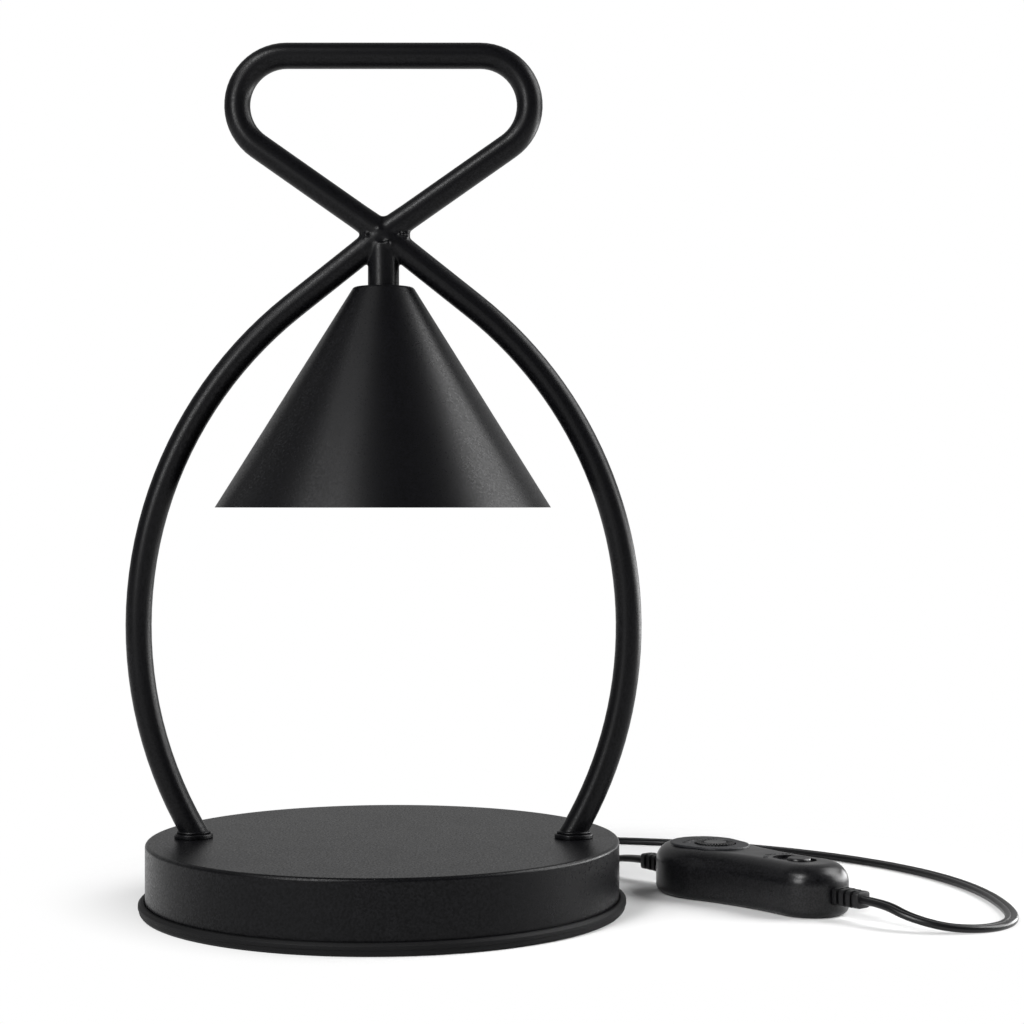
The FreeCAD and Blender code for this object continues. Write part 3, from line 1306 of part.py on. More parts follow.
spindle_bottom = dial_bottom - d.spindle_length
rotary = block_on_board("rotary_switch", dial_y, d.switch_side, d.switch_side, d.switch_height)
cut(rotary, spindle_bottom - d.spindle_clearance, board_top + d.switch_height,
    circle(0, dial_y, d.spindle_diameter / 2 + d.spindle_clearance))

flange_top = roof_under - d.button_gap
flange_bottom = flange_top - d.button_flange_thickness
push_top = flange_bottom - d.button_travel - d.button_gap
push = block_on_board("button_switch", button_y, d.push_switch_side, d.push_switch_side,
                      push_top - board_top)
cut(push, push_top - d.push_switch_well, push_top,
    circle(0, button_y, d.button_stem_diameter / 2 + d.button_gap))

capacitor = block_on_board("film_capacitor", d.capacitor_y, d.capacitor_length,
                           d.capacitor_width, d.capacitor_height)
triac = block_on_board("triac", d.triac_y, d.triac_length, d.triac_width, d.triac_height)
fuse = new_body("fuse")
add(fuse, -d.fuse_length / 2, d.fuse_length / 2,
    circle(d.fuse_y, board_top + d.fuse_diameter / 2, d.fuse_diameter / 2), role="YZ_Plane")

tails = new_body("dimmer_cord_tails")


def relief_seat(end_radius):
    """Where the flange of a strain relief meets the rounded wall inside, from the middle."""
    inner, half_wide = end_radius - d.case_wall, d.relief_width / 2
    return half_case - end_radius + root(inner * inner - half_wide * half_wide) - d.hole_clearance


nose_seat, tail_seat = relief_seat(d.case_nose_radius), relief_seat(d.case_tail_radius)
for near, far in ((board_end, nose_seat - d.relief_flange),
                  (d.relief_flange - tail_seat, d.board_front)):
    add(tails, d.case_split - cord_half_thickness, d.case_split + cord_half_thickness,
        rectangle(-cord_half_width, cord_half_width, near, far))


def lengthways(near, far, side):
    """The two ends of a stretch along Y, on the side of the middle that side says."""
    return (near, far) if side > 0 else (-far, -near)


def strain_relief(label, side, seat):
    """Moulded strain relief at one end of the dimmer: a tapered block with cross grooves,
    a neck in the case's wall and a flange behind it."""
    piece = new_body(label)
    half_wide, half_tip = d.relief_width / 2, d.relief_tip_width / 2
    taper = (half_wide - half_tip) / d.relief_length
    tip_y = half_case + d.relief_length
    edge = [(half_wide, half_case)]
    for n in range(3):
        start = d.relief_first_groove + n * d.relief_groove_pitch
        end = start + d.relief_groove
        edge += [
            (half_wide - taper * start, half_case + start),
            (half_wide - d.relief_groove_depth, half_case + start),
            (half_wide - d.relief_groove_depth, half_case + end),
            (half_wide - taper * end, half_case + end),
        ]
    edge.append((half_tip, tip_y))
    edge += [(-x, y) for x, y in reversed(edge)]
    add(piece, d.case_split - d.relief_height / 2, d.case_split + d.relief_height / 2,
        sides([(x, side * y) for x, y in edge]))
    add(piece, d.case_split - d.relief_neck_height / 2, d.case_split + d.relief_neck_height / 2,
        rectangle(-d.relief_neck_width / 2, d.relief_neck_width / 2,
                  *lengthways(seat, half_case, side)))
    add(piece, d.case_split - d.relief_height / 2, d.case_split + d.relief_height / 2,
        rectangle(-half_wide, half_wide, *lengthways(seat - d.relief_flange, seat, side)))
    return piece


relief_nose = strain_relief("relief_lamp_side", 1, nose_seat)
relief_tail = strain_relief("relief_plug_side", -1, tail_seat)
for piece in (top_shell, bottom_shell, case_screws, board, leds, pipes, rotary, push, capacitor,
              triac, fuse, tails, relief_nose, relief_tail):
    lay(piece)

dial = new_body("timer_dial")
dial_radius = d.dial_diameter / 2
add(dial, dial_bottom, dial_top, circle(0, 0, dial_radius))
add(dial, spindle_bottom, dial_bottom, circle(0, 0, d.spindle_diameter / 2))
groove = cut(dial, dial_top - d.dial_rib_depth, dial_top, rectangle(
    -d.dial_rib_gap / 2, d.dial_rib_gap / 2,
    d.dial_boss_diameter / 2, dial_radius + d.dial_rib_depth))
ribs = dial.newObject("PartDesign::PolarPattern", "dial_ribs")
ribs.Originals = [groove]
ribs.Axis = (groove.Profile[0], ["N_Axis"])
ribs.Angle = 360
bind(ribs, "Occurrences", d.dial_rib_count)
dial.Tip = ribs
settle(ribs)
lay(dial, 0, dial_y)

button = new_body("dimmer_button")
button_top = d.case_height + d.button_rise
add(button, flange_top, button_top, circle(0, 0, d.button_diameter / 2))
soften(button, "Fillet", d.face_round, lambda edge: level(edge, button_top))
add(button, flange_bottom, flange_top, circle(0, 0, d.button_flange / 2))
add(button, flange_bottom - d.button_stem_length, flange_bottom,
    circle(0, 0, d.button_stem_diameter / 2))
lay(button, 0, button_y)


# ---- plug ------------------------------------------------------------------------------
# Made with its blades along +Y and laid on the table with them along +X.

plug_middle = d.plug_height / 2


def lay_plug(thing):
    thing.Placement = Placement(
        Vector(d.plug_x.value, d.plug_y.value, 0), Rotation(Vector(0, 0, 1), -90)
    )
    bind(thing, "Placement.Base.x", d.plug_x)
    bind(thing, "Placement.Base.y", d.plug_y)


def tapered(body, start, end, first, last):
    """A loft between two upright rectangles across Y: each is its half width, its half height
    and the height of its middle."""
    sections = []
    for y, (half_wide, half_high, middle) in ((start, first), (end, last)):
        sketch = new_sketch(body, "XZ_Plane", -y)
        rectangle(-half_wide, half_wide, middle - half_high, middle + half_high)(sketch)
        sections.append(sketch)
    feature = body.newObject("PartDesign::AdditiveLoft", f"{body.Name}_loft")
    feature.Profile = sections[0]
    feature.Sections = [sections[1]]
    return settle(feature)


def lengthwise(edge):
    """Whether an edge runs along a piece made along Y."""
    return edge.BoundBox.YLength > d.plug_round.value


plug = new_body("plug_body")
plug_back = -d.plug_length
tapered(plug, as_size(0), plug_back, (d.plug_width / 2, plug_middle, plug_middle),
        (d.plug_back_width / 2, d.plug_back_height / 2, plug_middle))
soften(plug, "Fillet", d.plug_round, lengthwise)
blade_widths = ((-1, d.blade_narrow), (1, d.blade_wide))


def blade_sections():
    return [
        rectangle(side * d.blade_pitch / 2 - d.blade_thickness / 2,
                  side * d.blade_pitch / 2 + d.blade_thickness / 2,
                  plug_middle - wide / 2, plug_middle + wide / 2)
        for side, wide in blade_widths
    ]


cut(plug, as_size(0), d.blade_seat, *blade_sections(), role="XZ_Plane")
blades = new_body("plug_blades")
add(blades, -d.blade_length, d.blade_seat, *blade_sections(), role="XZ_Plane")
cut(blades, -d.plug_width / 2, d.plug_width / 2,
    circle(d.blade_hole_place, plug_middle, d.blade_hole / 2), role="YZ_Plane")
plug_relief = new_body("plug_relief")
relief_end = plug_back - d.plug_relief_length
tapered(plug_relief, plug_back, relief_end,
        (d.plug_relief_width / 2, d.plug_relief_height / 2, plug_middle),
        (d.plug_relief_tip_width / 2, d.plug_relief_tip_height / 2,
         plug_middle - d.plug_relief_drop))
for piece in (plug, blades, plug_relief):
    lay_plug(piece)


# ---- leads and cord --------------------------------------------------------------------

def tangent_path(points, radii):
    """Straight runs joined by tangent arcs, one radius for each point between the ends."""
    edges = []
    here = points[0]
    for before, corner, after, radius in zip(points, points[1:], points[2:], radii):
        back, ahead = (before - corner).normalize(), (after - corner).normalize()
        half_turn = (math.pi - back.getAngle(ahead)) / 2
        reach = radius * math.tan(half_turn)
        start, end = corner + back * reach, corner + ahead * reach
        inside = (back + ahead).normalize()
        middle = corner + inside * (radius / math.cos(half_turn) - radius)
        edges.append(Part.LineSegment(here, start).toShape())
        edges.append(Part.Arc(start, middle, end).toShape())
        here = end
    edges.append(Part.LineSegment(here, points[-1]).toShape())
    return Part.Wire(edges)


def widest_arcs(points):
    """The radii of a cord's bends: each is as large as its two runs allow."""
    radii = []
    for before, corner, after in zip(points, points[1:], points[2:]):
        back, ahead = before - corner, after - corner
        half_turn = (math.pi - back.getAngle(ahead)) / 2
        radii.append(0.45 * min(back.Length, ahead.Length) / math.tan(half_turn))
    return radii


def flat_section(at, along):
    """The cord's section, flat side down, across its direction."""
    side = Vector(0, 0, 1).cross(along).normalize()
    up = along.cross(side).normalize()
    flat, rounding = (cord_half_width - cord_half_thickness).value, cord_half_thickness.value

    def corner(x, z):
        return at + side * x + up * z

    return Part.Wire([
        Part.LineSegment(corner(-flat, rounding), corner(flat, rounding)).toShape(),
        Part.Arc(corner(flat, rounding), corner(flat + rounding, 0),
                 corner(flat, -rounding)).toShape(),
        Part.LineSegment(corner(flat, -rounding), corner(-flat, -rounding)).toShape(),
        Part.Arc(corner(-flat, -rounding), corner(-flat - rounding, 0),
                 corner(-flat, rounding)).toShape(),
    ])


def cord(label, points):
    """A stretch of the flat cord that lies free."""
    points = [Vector(*(as_size(number).value for number in point)) for point in points]
    radii = widest_arcs(points)
    path = tangent_path(points, radii)
    section = flat_section(points[0], (points[1] - points[0]).normalize())
    sweep = Part.BRepOffsetAPI.MakePipeShell(path)
    sweep.setBiNormalMode(Vector(0, 0, 1))
    sweep.add(section)
    sweep.build()
    sweep.makeSolid()
    solid = sweep.shape()
    volume = Part.Face(section).Area * path.Length
    print(f"{label}: {path.Length:.0f} mm, bends of {min(radii):.0f} mm and more,"
          f" volume {solid.Volume / volume:.3f} of section times length")
    if not 0.97 < solid.Volume / volume < 1.03:
        raise RuntimeError(f"{label} has the wrong volume")
    return shaped(label, solid)


floor = cord_half_thickness
relief_tip = half_case + d.relief_length
straight_out = relief_tip + 2 * d.cord_width
nose_tip = (*on_table(as_size(0), relief_tip), d.case_split)
nose_way = (*on_table(as_size(0), straight_out), d.case_split)
tail_tip = (*on_table(as_size(0), -relief_tip), d.case_split)
tail_way = (*on_table(as_size(0), -straight_out), d.case_split)
coil_bottom = d.tie_thickness + d.tie_gap
coil_low_turn = coil_bottom + d.coil_slack + cord_half_thickness
coil_high_turn = coil_low_turn + d.cord_thickness
plug_relief_tip = (d.plug_x + relief_end, d.plug_y, plug_middle - d.plug_relief_drop)
cord("lamp_cord", [
    (0, bushing_tip_y, d.cord_exit_height), (0, 129.5, d.cord_exit_height), (3.5, 143.5, 9.6),
    (14, 155.5, 4.2), (30, 160.5, floor), (47, 157, floor), (60.5, 145, floor),
    (71, 127, floor), (81.5, 106, floor), (92.5, 87, 4.6), nose_way, nose_tip,
])
run = cord("plug_cord_run", [
    tail_tip, tail_way, (209, -51.5, 5.6), (223, -57, 2.4), (238, -55, floor),
    (250, -45, floor), (256, -28, floor), (257.5, -5, floor), (256, 22, floor),
    (250, 49, floor), (239, 75, floor), (223, 99, floor), (202, 121, floor),
    (177, 140, floor), (149, 154, floor), (119, 163.5, floor), (88, 168.5, floor),
    (58, 169.5, floor), (30, 168.5, floor), (7, 162, floor), (-11, 150.5, floor),
    (-21.5, 137, 1.9), (-25.4, 121, coil_low_turn),
])
end = cord("plug_cord_end", [
    (-98.6, 137, coil_high_turn), (-98.2, 151, 4.6), (-92.5, 166.5, 2.6), (-80, 179.5, 2.6),
    (-64, d.plug_y, plug_relief_tip[2]), plug_relief_tip,
])

# Outer shape of the put-away coil and the tie around it.
coil_half_width = d.cord_width * d.coil_turns_beside / 2 + d.coil_slack
coil_inside = d.coil_mean_radius - coil_half_width
coil_outside = d.coil_mean_radius + coil_half_width
coil_top = coil_bottom + d.cord_thickness * d.coil_turns_stacked + d.coil_slack * 2
coil_blank = new_body("coil_blank")
pieces.remove(coil_blank)
turn(coil_blank, sides([
    (coil_inside, coil_bottom), (coil_outside, coil_bottom), (coil_outside, coil_top),
    (coil_inside, coil_top),
]))
coil_blank.Placement = Placement(Vector(d.coil_x.value, d.coil_y.value, 0), Rotation())
bind(coil_blank, "Placement.Base.x", d.coil_x)
bind(coil_blank, "Placement.Base.y", d.coil_y)
coil = coped("plug_cord_coil", coil_blank, run, end)

tie = new_body("cord_tie")
tie_inside, tie_outside = coil_inside - d.tie_gap, coil_outside + d.tie_gap
tie_top = coil_top + d.tie_gap
add(tie, -d.tie_width / 2, d.tie_width / 2, rectangle(
    tie_inside - d.tie_thickness, tie_outside + d.tie_thickness, 0, tie_top + d.tie_thickness,
), role="XZ_Plane")
cut(tie, -d.tie_width / 2, d.tie_width / 2,
    rectangle(tie_inside, tie_outside, d.tie_thickness, tie_top), role="XZ_Plane")
tie.Placement = Placement(
    Vector(d.coil_x.value, d.coil_y.value, 0), Rotation(Vector(0, 0, 1), d.tie_turn.value)
)
bind(tie, "Placement.Base.x", d.coil_x)
bind(tie, "Placement.Base.y", d.coil_y)
bind(tie, "Placement.Rotation.Angle", d.tie_turn)


def lead_route():
    """From the terminal block over the ballast to the left foot, up the left leg, down the
    stem and into the lamp holder's cover, with the radius of each bend."""
    centre_x, centre_z, radius = leg_bend()
    centre = Vector(-centre_x, 0, centre_z)
    foot = Vector(-d.foot_spread.value, 0, collar_top.value)
    low = (ballast_top + d.lead_diameter / 2 + d.lead_above_ballast).value
    entry = Vector(-d.block_pitch_x.value / 2, block_front.value, d.cord_exit_height.value)
    points = [
        entry, entry - Vector(0, 14, 0), Vector(-30, 20, low), Vector(-60, 5, low),
        Vector(foot.x, 0, low), foot,
    ]
    bend = d.lead_bend.value
    radii = [bend, bend, bend, d.lead_foot_bend.value, bend]
    first = math.atan2(foot.z - centre.z, foot.x - centre.x) % (2 * math.pi)
    last = math.radians(90 + d.leg_slope.value)
    shares = (0.1, 0.3, 0.5, 0.7, 0.9)
    outside = radius / math.cos((first - last) * shares[0])
    for share in shares:
        way = first + (last - first) * share
        points.append(centre + Vector(math.cos(way), 0, math.sin(way)) * outside)
        radii.append(radius * (shares[-1] - shares[0]))
    points += [
        Vector(0, 0, d.node_height.value),
        Vector(0, 0, (holder_top - d.holder_cap_height / 2).value),
    ]
    return points, radii + [d.lead_node_bend.value]


lead_points, lead_bends = lead_route()
lead_path = tangent_path(lead_points, lead_bends)
lead_along = (lead_points[1] - lead_points[0]).normalize()
lead_section = Part.Wire(
    Part.Circle(lead_points[0], lead_along, d.lead_diameter.value / 2).toShape()
)
lead = lead_path.makePipeShell([lead_section], True, False)
print(f"lamp_lead: {lead_path.Length:.0f} mm")
shaped("lamp_lead", lead)


# ---- check and write -------------------------------------------------------------------

doc.recompute()
for thing in doc.Objects:
    if "Invalid" in thing.State or "Error" in thing.State:
        raise RuntimeError(f"{thing.Label} failed: {thing.State}")
if len(pieces) > 60:
    raise RuntimeError("more than 60 sub-parts")
for piece in pieces:
    if piece.Shape.isNull() or not piece.Shape.isValid() or not piece.Shape.Solids:
        raise RuntimeError(f"{piece.Label} has no good shape")
for piece in pieces:
    piece.Shape.exportStep(f"parts/{piece.Label}.step")
print(f"{len(pieces)} sub-parts written")
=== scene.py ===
"""Candle warmer lamp: the looks of every piece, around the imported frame. Metres, +Z up.

The pieces come in the order in which the lamp is put together, after the camera, the
setting and the cord. Each section makes one piece, or a group of like pieces, and finishes
it.
"""
import bmesh
import bpy
import math
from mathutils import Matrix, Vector


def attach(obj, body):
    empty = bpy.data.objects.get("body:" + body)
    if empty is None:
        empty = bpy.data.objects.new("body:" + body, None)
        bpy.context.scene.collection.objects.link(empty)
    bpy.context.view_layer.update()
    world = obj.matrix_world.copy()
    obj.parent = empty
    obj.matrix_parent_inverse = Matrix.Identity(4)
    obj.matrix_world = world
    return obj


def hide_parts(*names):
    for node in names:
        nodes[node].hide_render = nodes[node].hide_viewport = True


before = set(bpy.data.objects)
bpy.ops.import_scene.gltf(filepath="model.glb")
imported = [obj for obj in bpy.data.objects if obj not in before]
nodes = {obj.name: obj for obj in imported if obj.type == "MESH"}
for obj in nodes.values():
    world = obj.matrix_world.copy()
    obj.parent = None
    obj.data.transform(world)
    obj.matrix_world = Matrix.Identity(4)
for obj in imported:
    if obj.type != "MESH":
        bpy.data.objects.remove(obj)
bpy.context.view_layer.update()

mm = 0.001

# ---- camera ----------------------------------------------------------------------------
# A long lens at the height of the shade's rim, a little to the right of the lamp's axis,
# so that the base's top shows as a flat ellipse and the shade's rim as a line.

camera_data = bpy.data.cameras.new("camera")
camera_data.sensor_width = 36
camera_data.lens = 75.1
camera_data.clip_start, camera_data.clip_end = 0.01, 50
camera = bpy.data.objects.new("camera", camera_data)
camera.location = (53.5 * mm, -890 * mm, 167.6 * mm)
camera.rotation_euler = (math.radians(89.8), 0, 0)
bpy.context.scene.collection.objects.link(camera)
bpy.context.scene.camera = camera
bpy.context.scene.view_settings.view_transform = "Standard"


# ---- setting ---------------------------------------------------------------------------
# A white sweep of paper between soft boxes: two in front on the left and a tall one on the
# right, each with weaker ones beside it. The paper takes the lamp's soft shadow and turns
# to plain white further out.

def hex_colour(code):
    """An sRGB hex colour as linear light."""
    parts = [int(code[i:i + 2], 16) / 255 for i in (1, 3, 5)]
    return (*[c / 12.92 if c <= 0.04045 else ((c + 0.055) / 1.055) ** 2.4 for c in parts], 1)


def new_material(name):
    """A material and its Principled shader."""
    material = bpy.data.materials.new(name)
    material.use_nodes = True
    return material, material.node_tree.nodes["Principled BSDF"]


def add_node(material, kind, sockets=(), **settings):
    """Adds a node with its settings. A socket's value is a number, a colour or another
    node's output, which is linked."""
    made = material.node_tree.nodes.new(kind)
    for name, value in settings.items():
        setattr(made, name, value)
    for name, value in dict(sockets).items():
        if isinstance(value, bpy.types.NodeSocket):
            material.node_tree.links.new(value, made.inputs[name])
        else:
            made.inputs[name].default_value = value
    return made


def link(material, output, socket):
    material.node_tree.links.new(output, socket)


def deselect():
    """Leaves edit mode and selects nothing."""
    if bpy.context.object and bpy.context.object.mode != "OBJECT":
        bpy.ops.object.mode_set(mode="OBJECT")
    bpy.ops.object.select_all(action="DESELECT")


paper, paper_shader = new_material("white_paper")
paper_shader.inputs["Base Color"].default_value = hex_colour("#e0e0e0")
paper_shader.inputs["Roughness"].default_value = 0.9
paper_shader.inputs["Specular IOR Level"].default_value = 0.1
place = add_node(paper, "ShaderNodeTexCoord")
# the oval round the lamp, its dimmer and the cord inside which the paper takes shadows
oval_middle, oval_squeeze = Vector((0.075, 0.05, 0)), Vector((0.645, 0.77, 1))
oval = add_node(paper, "ShaderNodeMapping", {
    "Vector": place.outputs["Object"], "Location": -oval_middle * oval_squeeze,
    "Scale": oval_squeeze})
away = add_node(paper, "ShaderNodeVectorMath", {0: oval.outputs["Vector"]}, operation="LENGTH")
fade = add_node(paper, "ShaderNodeMapRange",
                {"Value": away.outputs["Value"], "From Min": 0.105, "From Max": 0.15},
                interpolation_type="SMOOTHSTEP")
seen = add_node(paper, "ShaderNodeLightPath")
mirrored = add_node(paper, "ShaderNodeMath",
                    {0: seen.outputs["Is Glossy Ray"], 1: seen.outputs["Is Transmission Ray"]},
                    operation="MAXIMUM")
shown = add_node(paper, "ShaderNodeMath",
                 {0: seen.outputs["Is Camera Ray"], 1: mirrored.outputs["Value"]},
                 operation="MAXIMUM")
share = add_node(paper, "ShaderNodeMath",
                 {0: fade.outputs["Result"], 1: shown.outputs["Value"]}, operation="MULTIPLY")
white = add_node(paper, "ShaderNodeEmission", {"Strength": 1.0})
mix = add_node(paper, "ShaderNodeMixShader",
               {0: share.outputs["Value"], 1: paper_shader.outputs["BSDF"],
                2: white.outputs["Emission"]})
side = add_node(paper, "ShaderNodeNewGeometry")     # clear from below, to show the underside
clear = add_node(paper, "ShaderNodeBsdfTransparent")
sheet = add_node(paper, "ShaderNodeMixShader",
                 {0: side.outputs["Backfacing"], 1: mix.outputs["Shader"],
                  2: clear.outputs["BSDF"]})
link(paper, sheet.outputs["Shader"], paper.node_tree.nodes["Material Output"].inputs["Surface"])

deselect()
bpy.ops.mesh.primitive_circle_add(vertices=64, radius=8, fill_type="NGON", location=(0, 0, 0))
floor = bpy.context.object
floor.name = "floor"
floor.data.materials.append(paper)

# The room is white to the camera, and lights the lamp from the back more than from the front.
world = bpy.data.worlds.new("studio")
bpy.context.scene.world = world
world.use_nodes = True
rays = add_node(world, "ShaderNodeLightPath")
white_to = add_node(world, "ShaderNodeMath", {
    0: rays.outputs["Is Camera Ray"], 1: rays.outputs["Is Transmission Ray"],
}, operation="MAXIMUM")
way = add_node(world, "ShaderNodeTexCoord")
parts = add_node(world, "ShaderNodeSeparateXYZ", {"Vector": way.outputs["Generated"]})
room = add_node(world, "ShaderNodeMapRange", {
    "Value": parts.outputs["Y"], "From Min": -0.3, "From Max": 0.7,
    "To Min": 0.0, "To Max": 0.45})
level = add_node(world, "ShaderNodeMath", {
    0: room.outputs["Result"], 1: white_to.outputs["Value"]}, operation="MAXIMUM")
link(world, level.outputs["Value"], world.node_tree.nodes["Background"].inputs["Strength"])
world.node_tree.nodes["Background"].inputs["Color"].default_value = (1, 1, 1, 1)


def soft_box(name, place, size, power, target=(0, 0, 0.15)):
    """A rectangular soft box that faces the lamp."""
    light = bpy.data.lights.new(name, "AREA")
    light.shape = "RECTANGLE"
    light.size, light.size_y = size
    light.energy = power
    made = bpy.data.objects.new(name, light)
    made.location = place
    made.rotation_euler = (Vector(target) - Vector(place)).to_track_quat("-Z", "Y").to_euler()
    bpy.context.scene.collection.objects.link(made)


soft_box("soft_box_left_low", (-0.62, -0.88, 0.48), (0.40, 0.42), 8.0)
soft_box("soft_box_left_high", (-0.62, -0.88, 1.28), (0.40, 0.5), 14.0)
soft_box("soft_box_left_side", (-0.95, -0.45, 1.35), (0.35, 0.45), 3.0)
soft_box("soft_box_right", (1.0, 0.05, 0.6), (0.5, 1.0), 14.0)
soft_box("soft_box_right_back", (0.9, 0.5, 0.95), (0.35, 0.6), 3.5)
soft_box("soft_box_right_low", (0.85, 0.42, 0.14), (0.6, 0.26), 4.5)


# ---- cord ------------------------------------------------------------------------------
# Black flat twin cord: two round cores in soft PVC, joined by a thin web, with a satin skin
# straight from the extruder. One length runs from the base to the dimmer, another from
# there to the plug, most of it wound into a neat coil behind the base.

cord_width, cord_thickness = 5.6 * mm, 2.9 * mm
floor_line = cord_thickness / 2 / mm
dimmer_x, dimmer_y, dimmer_turn = 154, 14, 40
cord_in_dimmer = 9               # the cord's middle at the dimmer, above the table
case_end, relief_length = 50, 13
relief_tip = case_end + relief_length
straight_out = relief_tip + 11.2


def on_table(x, y):
    """Where a point of the dimmer lies, in millimetres: its own axes are turned."""
    turned = math.radians(dimmer_turn)
    return (dimmer_x + x * math.cos(turned) - y * math.sin(turned),
            dimmer_y + x * math.sin(turned) + y * math.cos(turned))


lamp_side = [
    (0, 119.15, 14.2), (0, 129.5, 14.2), (3.5, 143.5, 9.6), (14, 155.5, 4.2),
    (30, 160.5, floor_line), (47, 157, floor_line), (60.5, 145, floor_line),
    (71, 127, floor_line), (81.5, 106, floor_line), (92.5, 87, 4.6),
    (*on_table(0, straight_out), cord_in_dimmer), (*on_table(0, relief_tip), cord_in_dimmer),
]
to_coil = [
    (*on_table(0, -relief_tip), cord_in_dimmer), (*on_table(0, -straight_out), cord_in_dimmer),
    (209, -51.5, 5.6), (223, -57, 2.4), (238, -55, floor_line), (250, -45, floor_line),
    (256, -28, floor_line),
    (257.5, -5, floor_line), (256, 22, floor_line), (250, 49, floor_line),
    (239, 75, floor_line), (223, 99, floor_line), (202, 121, floor_line),
    (177, 140, floor_line), (149, 154, floor_line), (119, 163.5, floor_line),
    (88, 168.5, floor_line), (58, 169.5, floor_line), (30, 168.5, floor_line),
    (7, 162, floor_line), (-11, 150.5, floor_line), (-21.5, 137, 1.9),
]
to_plug = [(-98.2, 151, 4.6), (-92.5, 166.5, 2.6), (-80, 179.5, 2.6), (-64, 187, 4.3),
           (-51, 187, 4.3)]

coil_middle = (-62, 131)
turn_radii = (36.6, 31.0, 25.4, 25.4, 31.0, 36.6)   # three turns below, three above
low_turns, high_turns = 2.65, 5.55
steps_a_turn = 18
step_over = 5 / 6                # each turn is round, and steps to the next at its end
coil = []
for step in range(1, int(5.5 * steps_a_turn) + 1):
    turn, part = divmod(step / steps_a_turn, 1)
    turn = int(turn)
    after = min(turn + 1, len(turn_radii) - 1)
    change = max(0, (part - step_over) / (1 - step_over))
    change = change * change * (3 - 2 * change)
    radius = turn_radii[turn] + (turn_radii[after] - turn_radii[turn]) * change
    if turn == 2:
        height = low_turns + (high_turns - low_turns) * change
    else:
        height = low_turns if turn < 2 else high_turns
    radius /= math.cos(math.pi / steps_a_turn) ** 0.5
    way = -2 * math.pi * step / steps_a_turn
    coil.append((coil_middle[0] + radius * math.cos(way),
                 coil_middle[1] + radius * math.sin(way), height))


def new_curve(name, dimensions, kind, points):
    """A curve object with one spline through or round points in metres, and its spline."""
    curve = bpy.data.curves.new(name, "CURVE")
    curve.dimensions = dimensions
    spline = curve.splines.new(kind)
    spline.points.add(len(points) - 1)
    for point, place in zip(spline.points, points):
        point.co = (*place, 1)
    made = bpy.data.objects.new(name, curve)
    bpy.context.scene.collection.objects.link(made)
    return made, spline


def route(name, points):
    """A cord's line: one smooth curve with these points, in millimetres, around it."""
    made, spline = new_curve(name, "3D", "NURBS",
                             [[number * mm for number in place] for place in points])
    made.data.twist_mode = "Z_UP"
    made.data.resolution_u = 8
    spline.order_u = 3
    spline.use_endpoint_u = True
    return made


def line_of(made):
    """The points of a route's smooth curve."""
    bpy.context.view_layer.update()
    mesh = bpy.data.meshes.new_from_object(made.evaluated_get(
        bpy.context.evaluated_depsgraph_get()))
    points = [tuple(vertex.co) for vertex in mesh.vertices]
    bpy.data.meshes.remove(mesh)
    return points


def twin_section():
    """Outline of the flat cord: two round cores and the web between them."""
    core = cord_thickness / 2
    middle = cord_width / 2 - core
    web_angle = math.radians(28)     # where each core's round skin runs into the web
    around = []
    for side in (1, -1):
        for step in range(13):
            way = -math.pi + web_angle + step * (2 * math.pi - 2 * web_angle) / 12
            around.append((side * (middle + core * math.cos(way)),
                           side * core * math.sin(way), 0))
    made, spline = new_curve("twin_section", "2D", "POLY", around)
    spline.use_cyclic_u = True
    return made


def activate(made):
    """Selects one piece and makes it the active one."""
    deselect()
    made.select_set(True)
    bpy.context.view_layer.objects.active = made


def close_up(smooth=35, merge=0.002):
    """Merges doubles, turns the faces outwards and leaves edit mode."""
    bpy.ops.mesh.select_all(action="SELECT")
    bpy.ops.mesh.remove_doubles(threshold=merge * mm)
    bpy.ops.mesh.normals_make_consistent(inside=False)
    bpy.ops.object.mode_set(mode="OBJECT")
    bpy.ops.object.shade_smooth_by_angle(angle=math.radians(smooth))


def twin_cord(name, points):
    """The flat cord along a route, as a mesh, and the points of its line."""
    made = route(name, points)
    line = line_of(made)
    section = twin_section()
    made.data.bevel_mode = "OBJECT"
    made.data.bevel_object = section
    made.data.use_fill_caps = True
    activate(made)
    bpy.ops.object.convert(target="MESH")
    bpy.data.objects.remove(section)
    made = bpy.context.object
    bpy.ops.object.mode_set(mode="EDIT")
    close_up(50, merge=0.02)
    return made, line


def tone_and_relief(material, shader, pattern, dark, light, height=None, strength=0, depth=0):
    """Runs the shader's colour between two tones with a pattern and raises its surface by a
    height, of a strength and a depth in millimetres. Gives the colour's node."""
    tone = add_node(material, "ShaderNodeMix", {
        0: pattern, 6: hex_colour(dark), 7: hex_colour(light)}, data_type="RGBA")
    link(material, tone.outputs[2], shader.inputs["Base Color"])
    if height:
        relief = add_node(material, "ShaderNodeBump", {
            "Height": height, "Strength": strength, "Distance": depth * mm})
        link(material, relief.outputs["Normal"], shader.inputs["Normal"])
    return tone


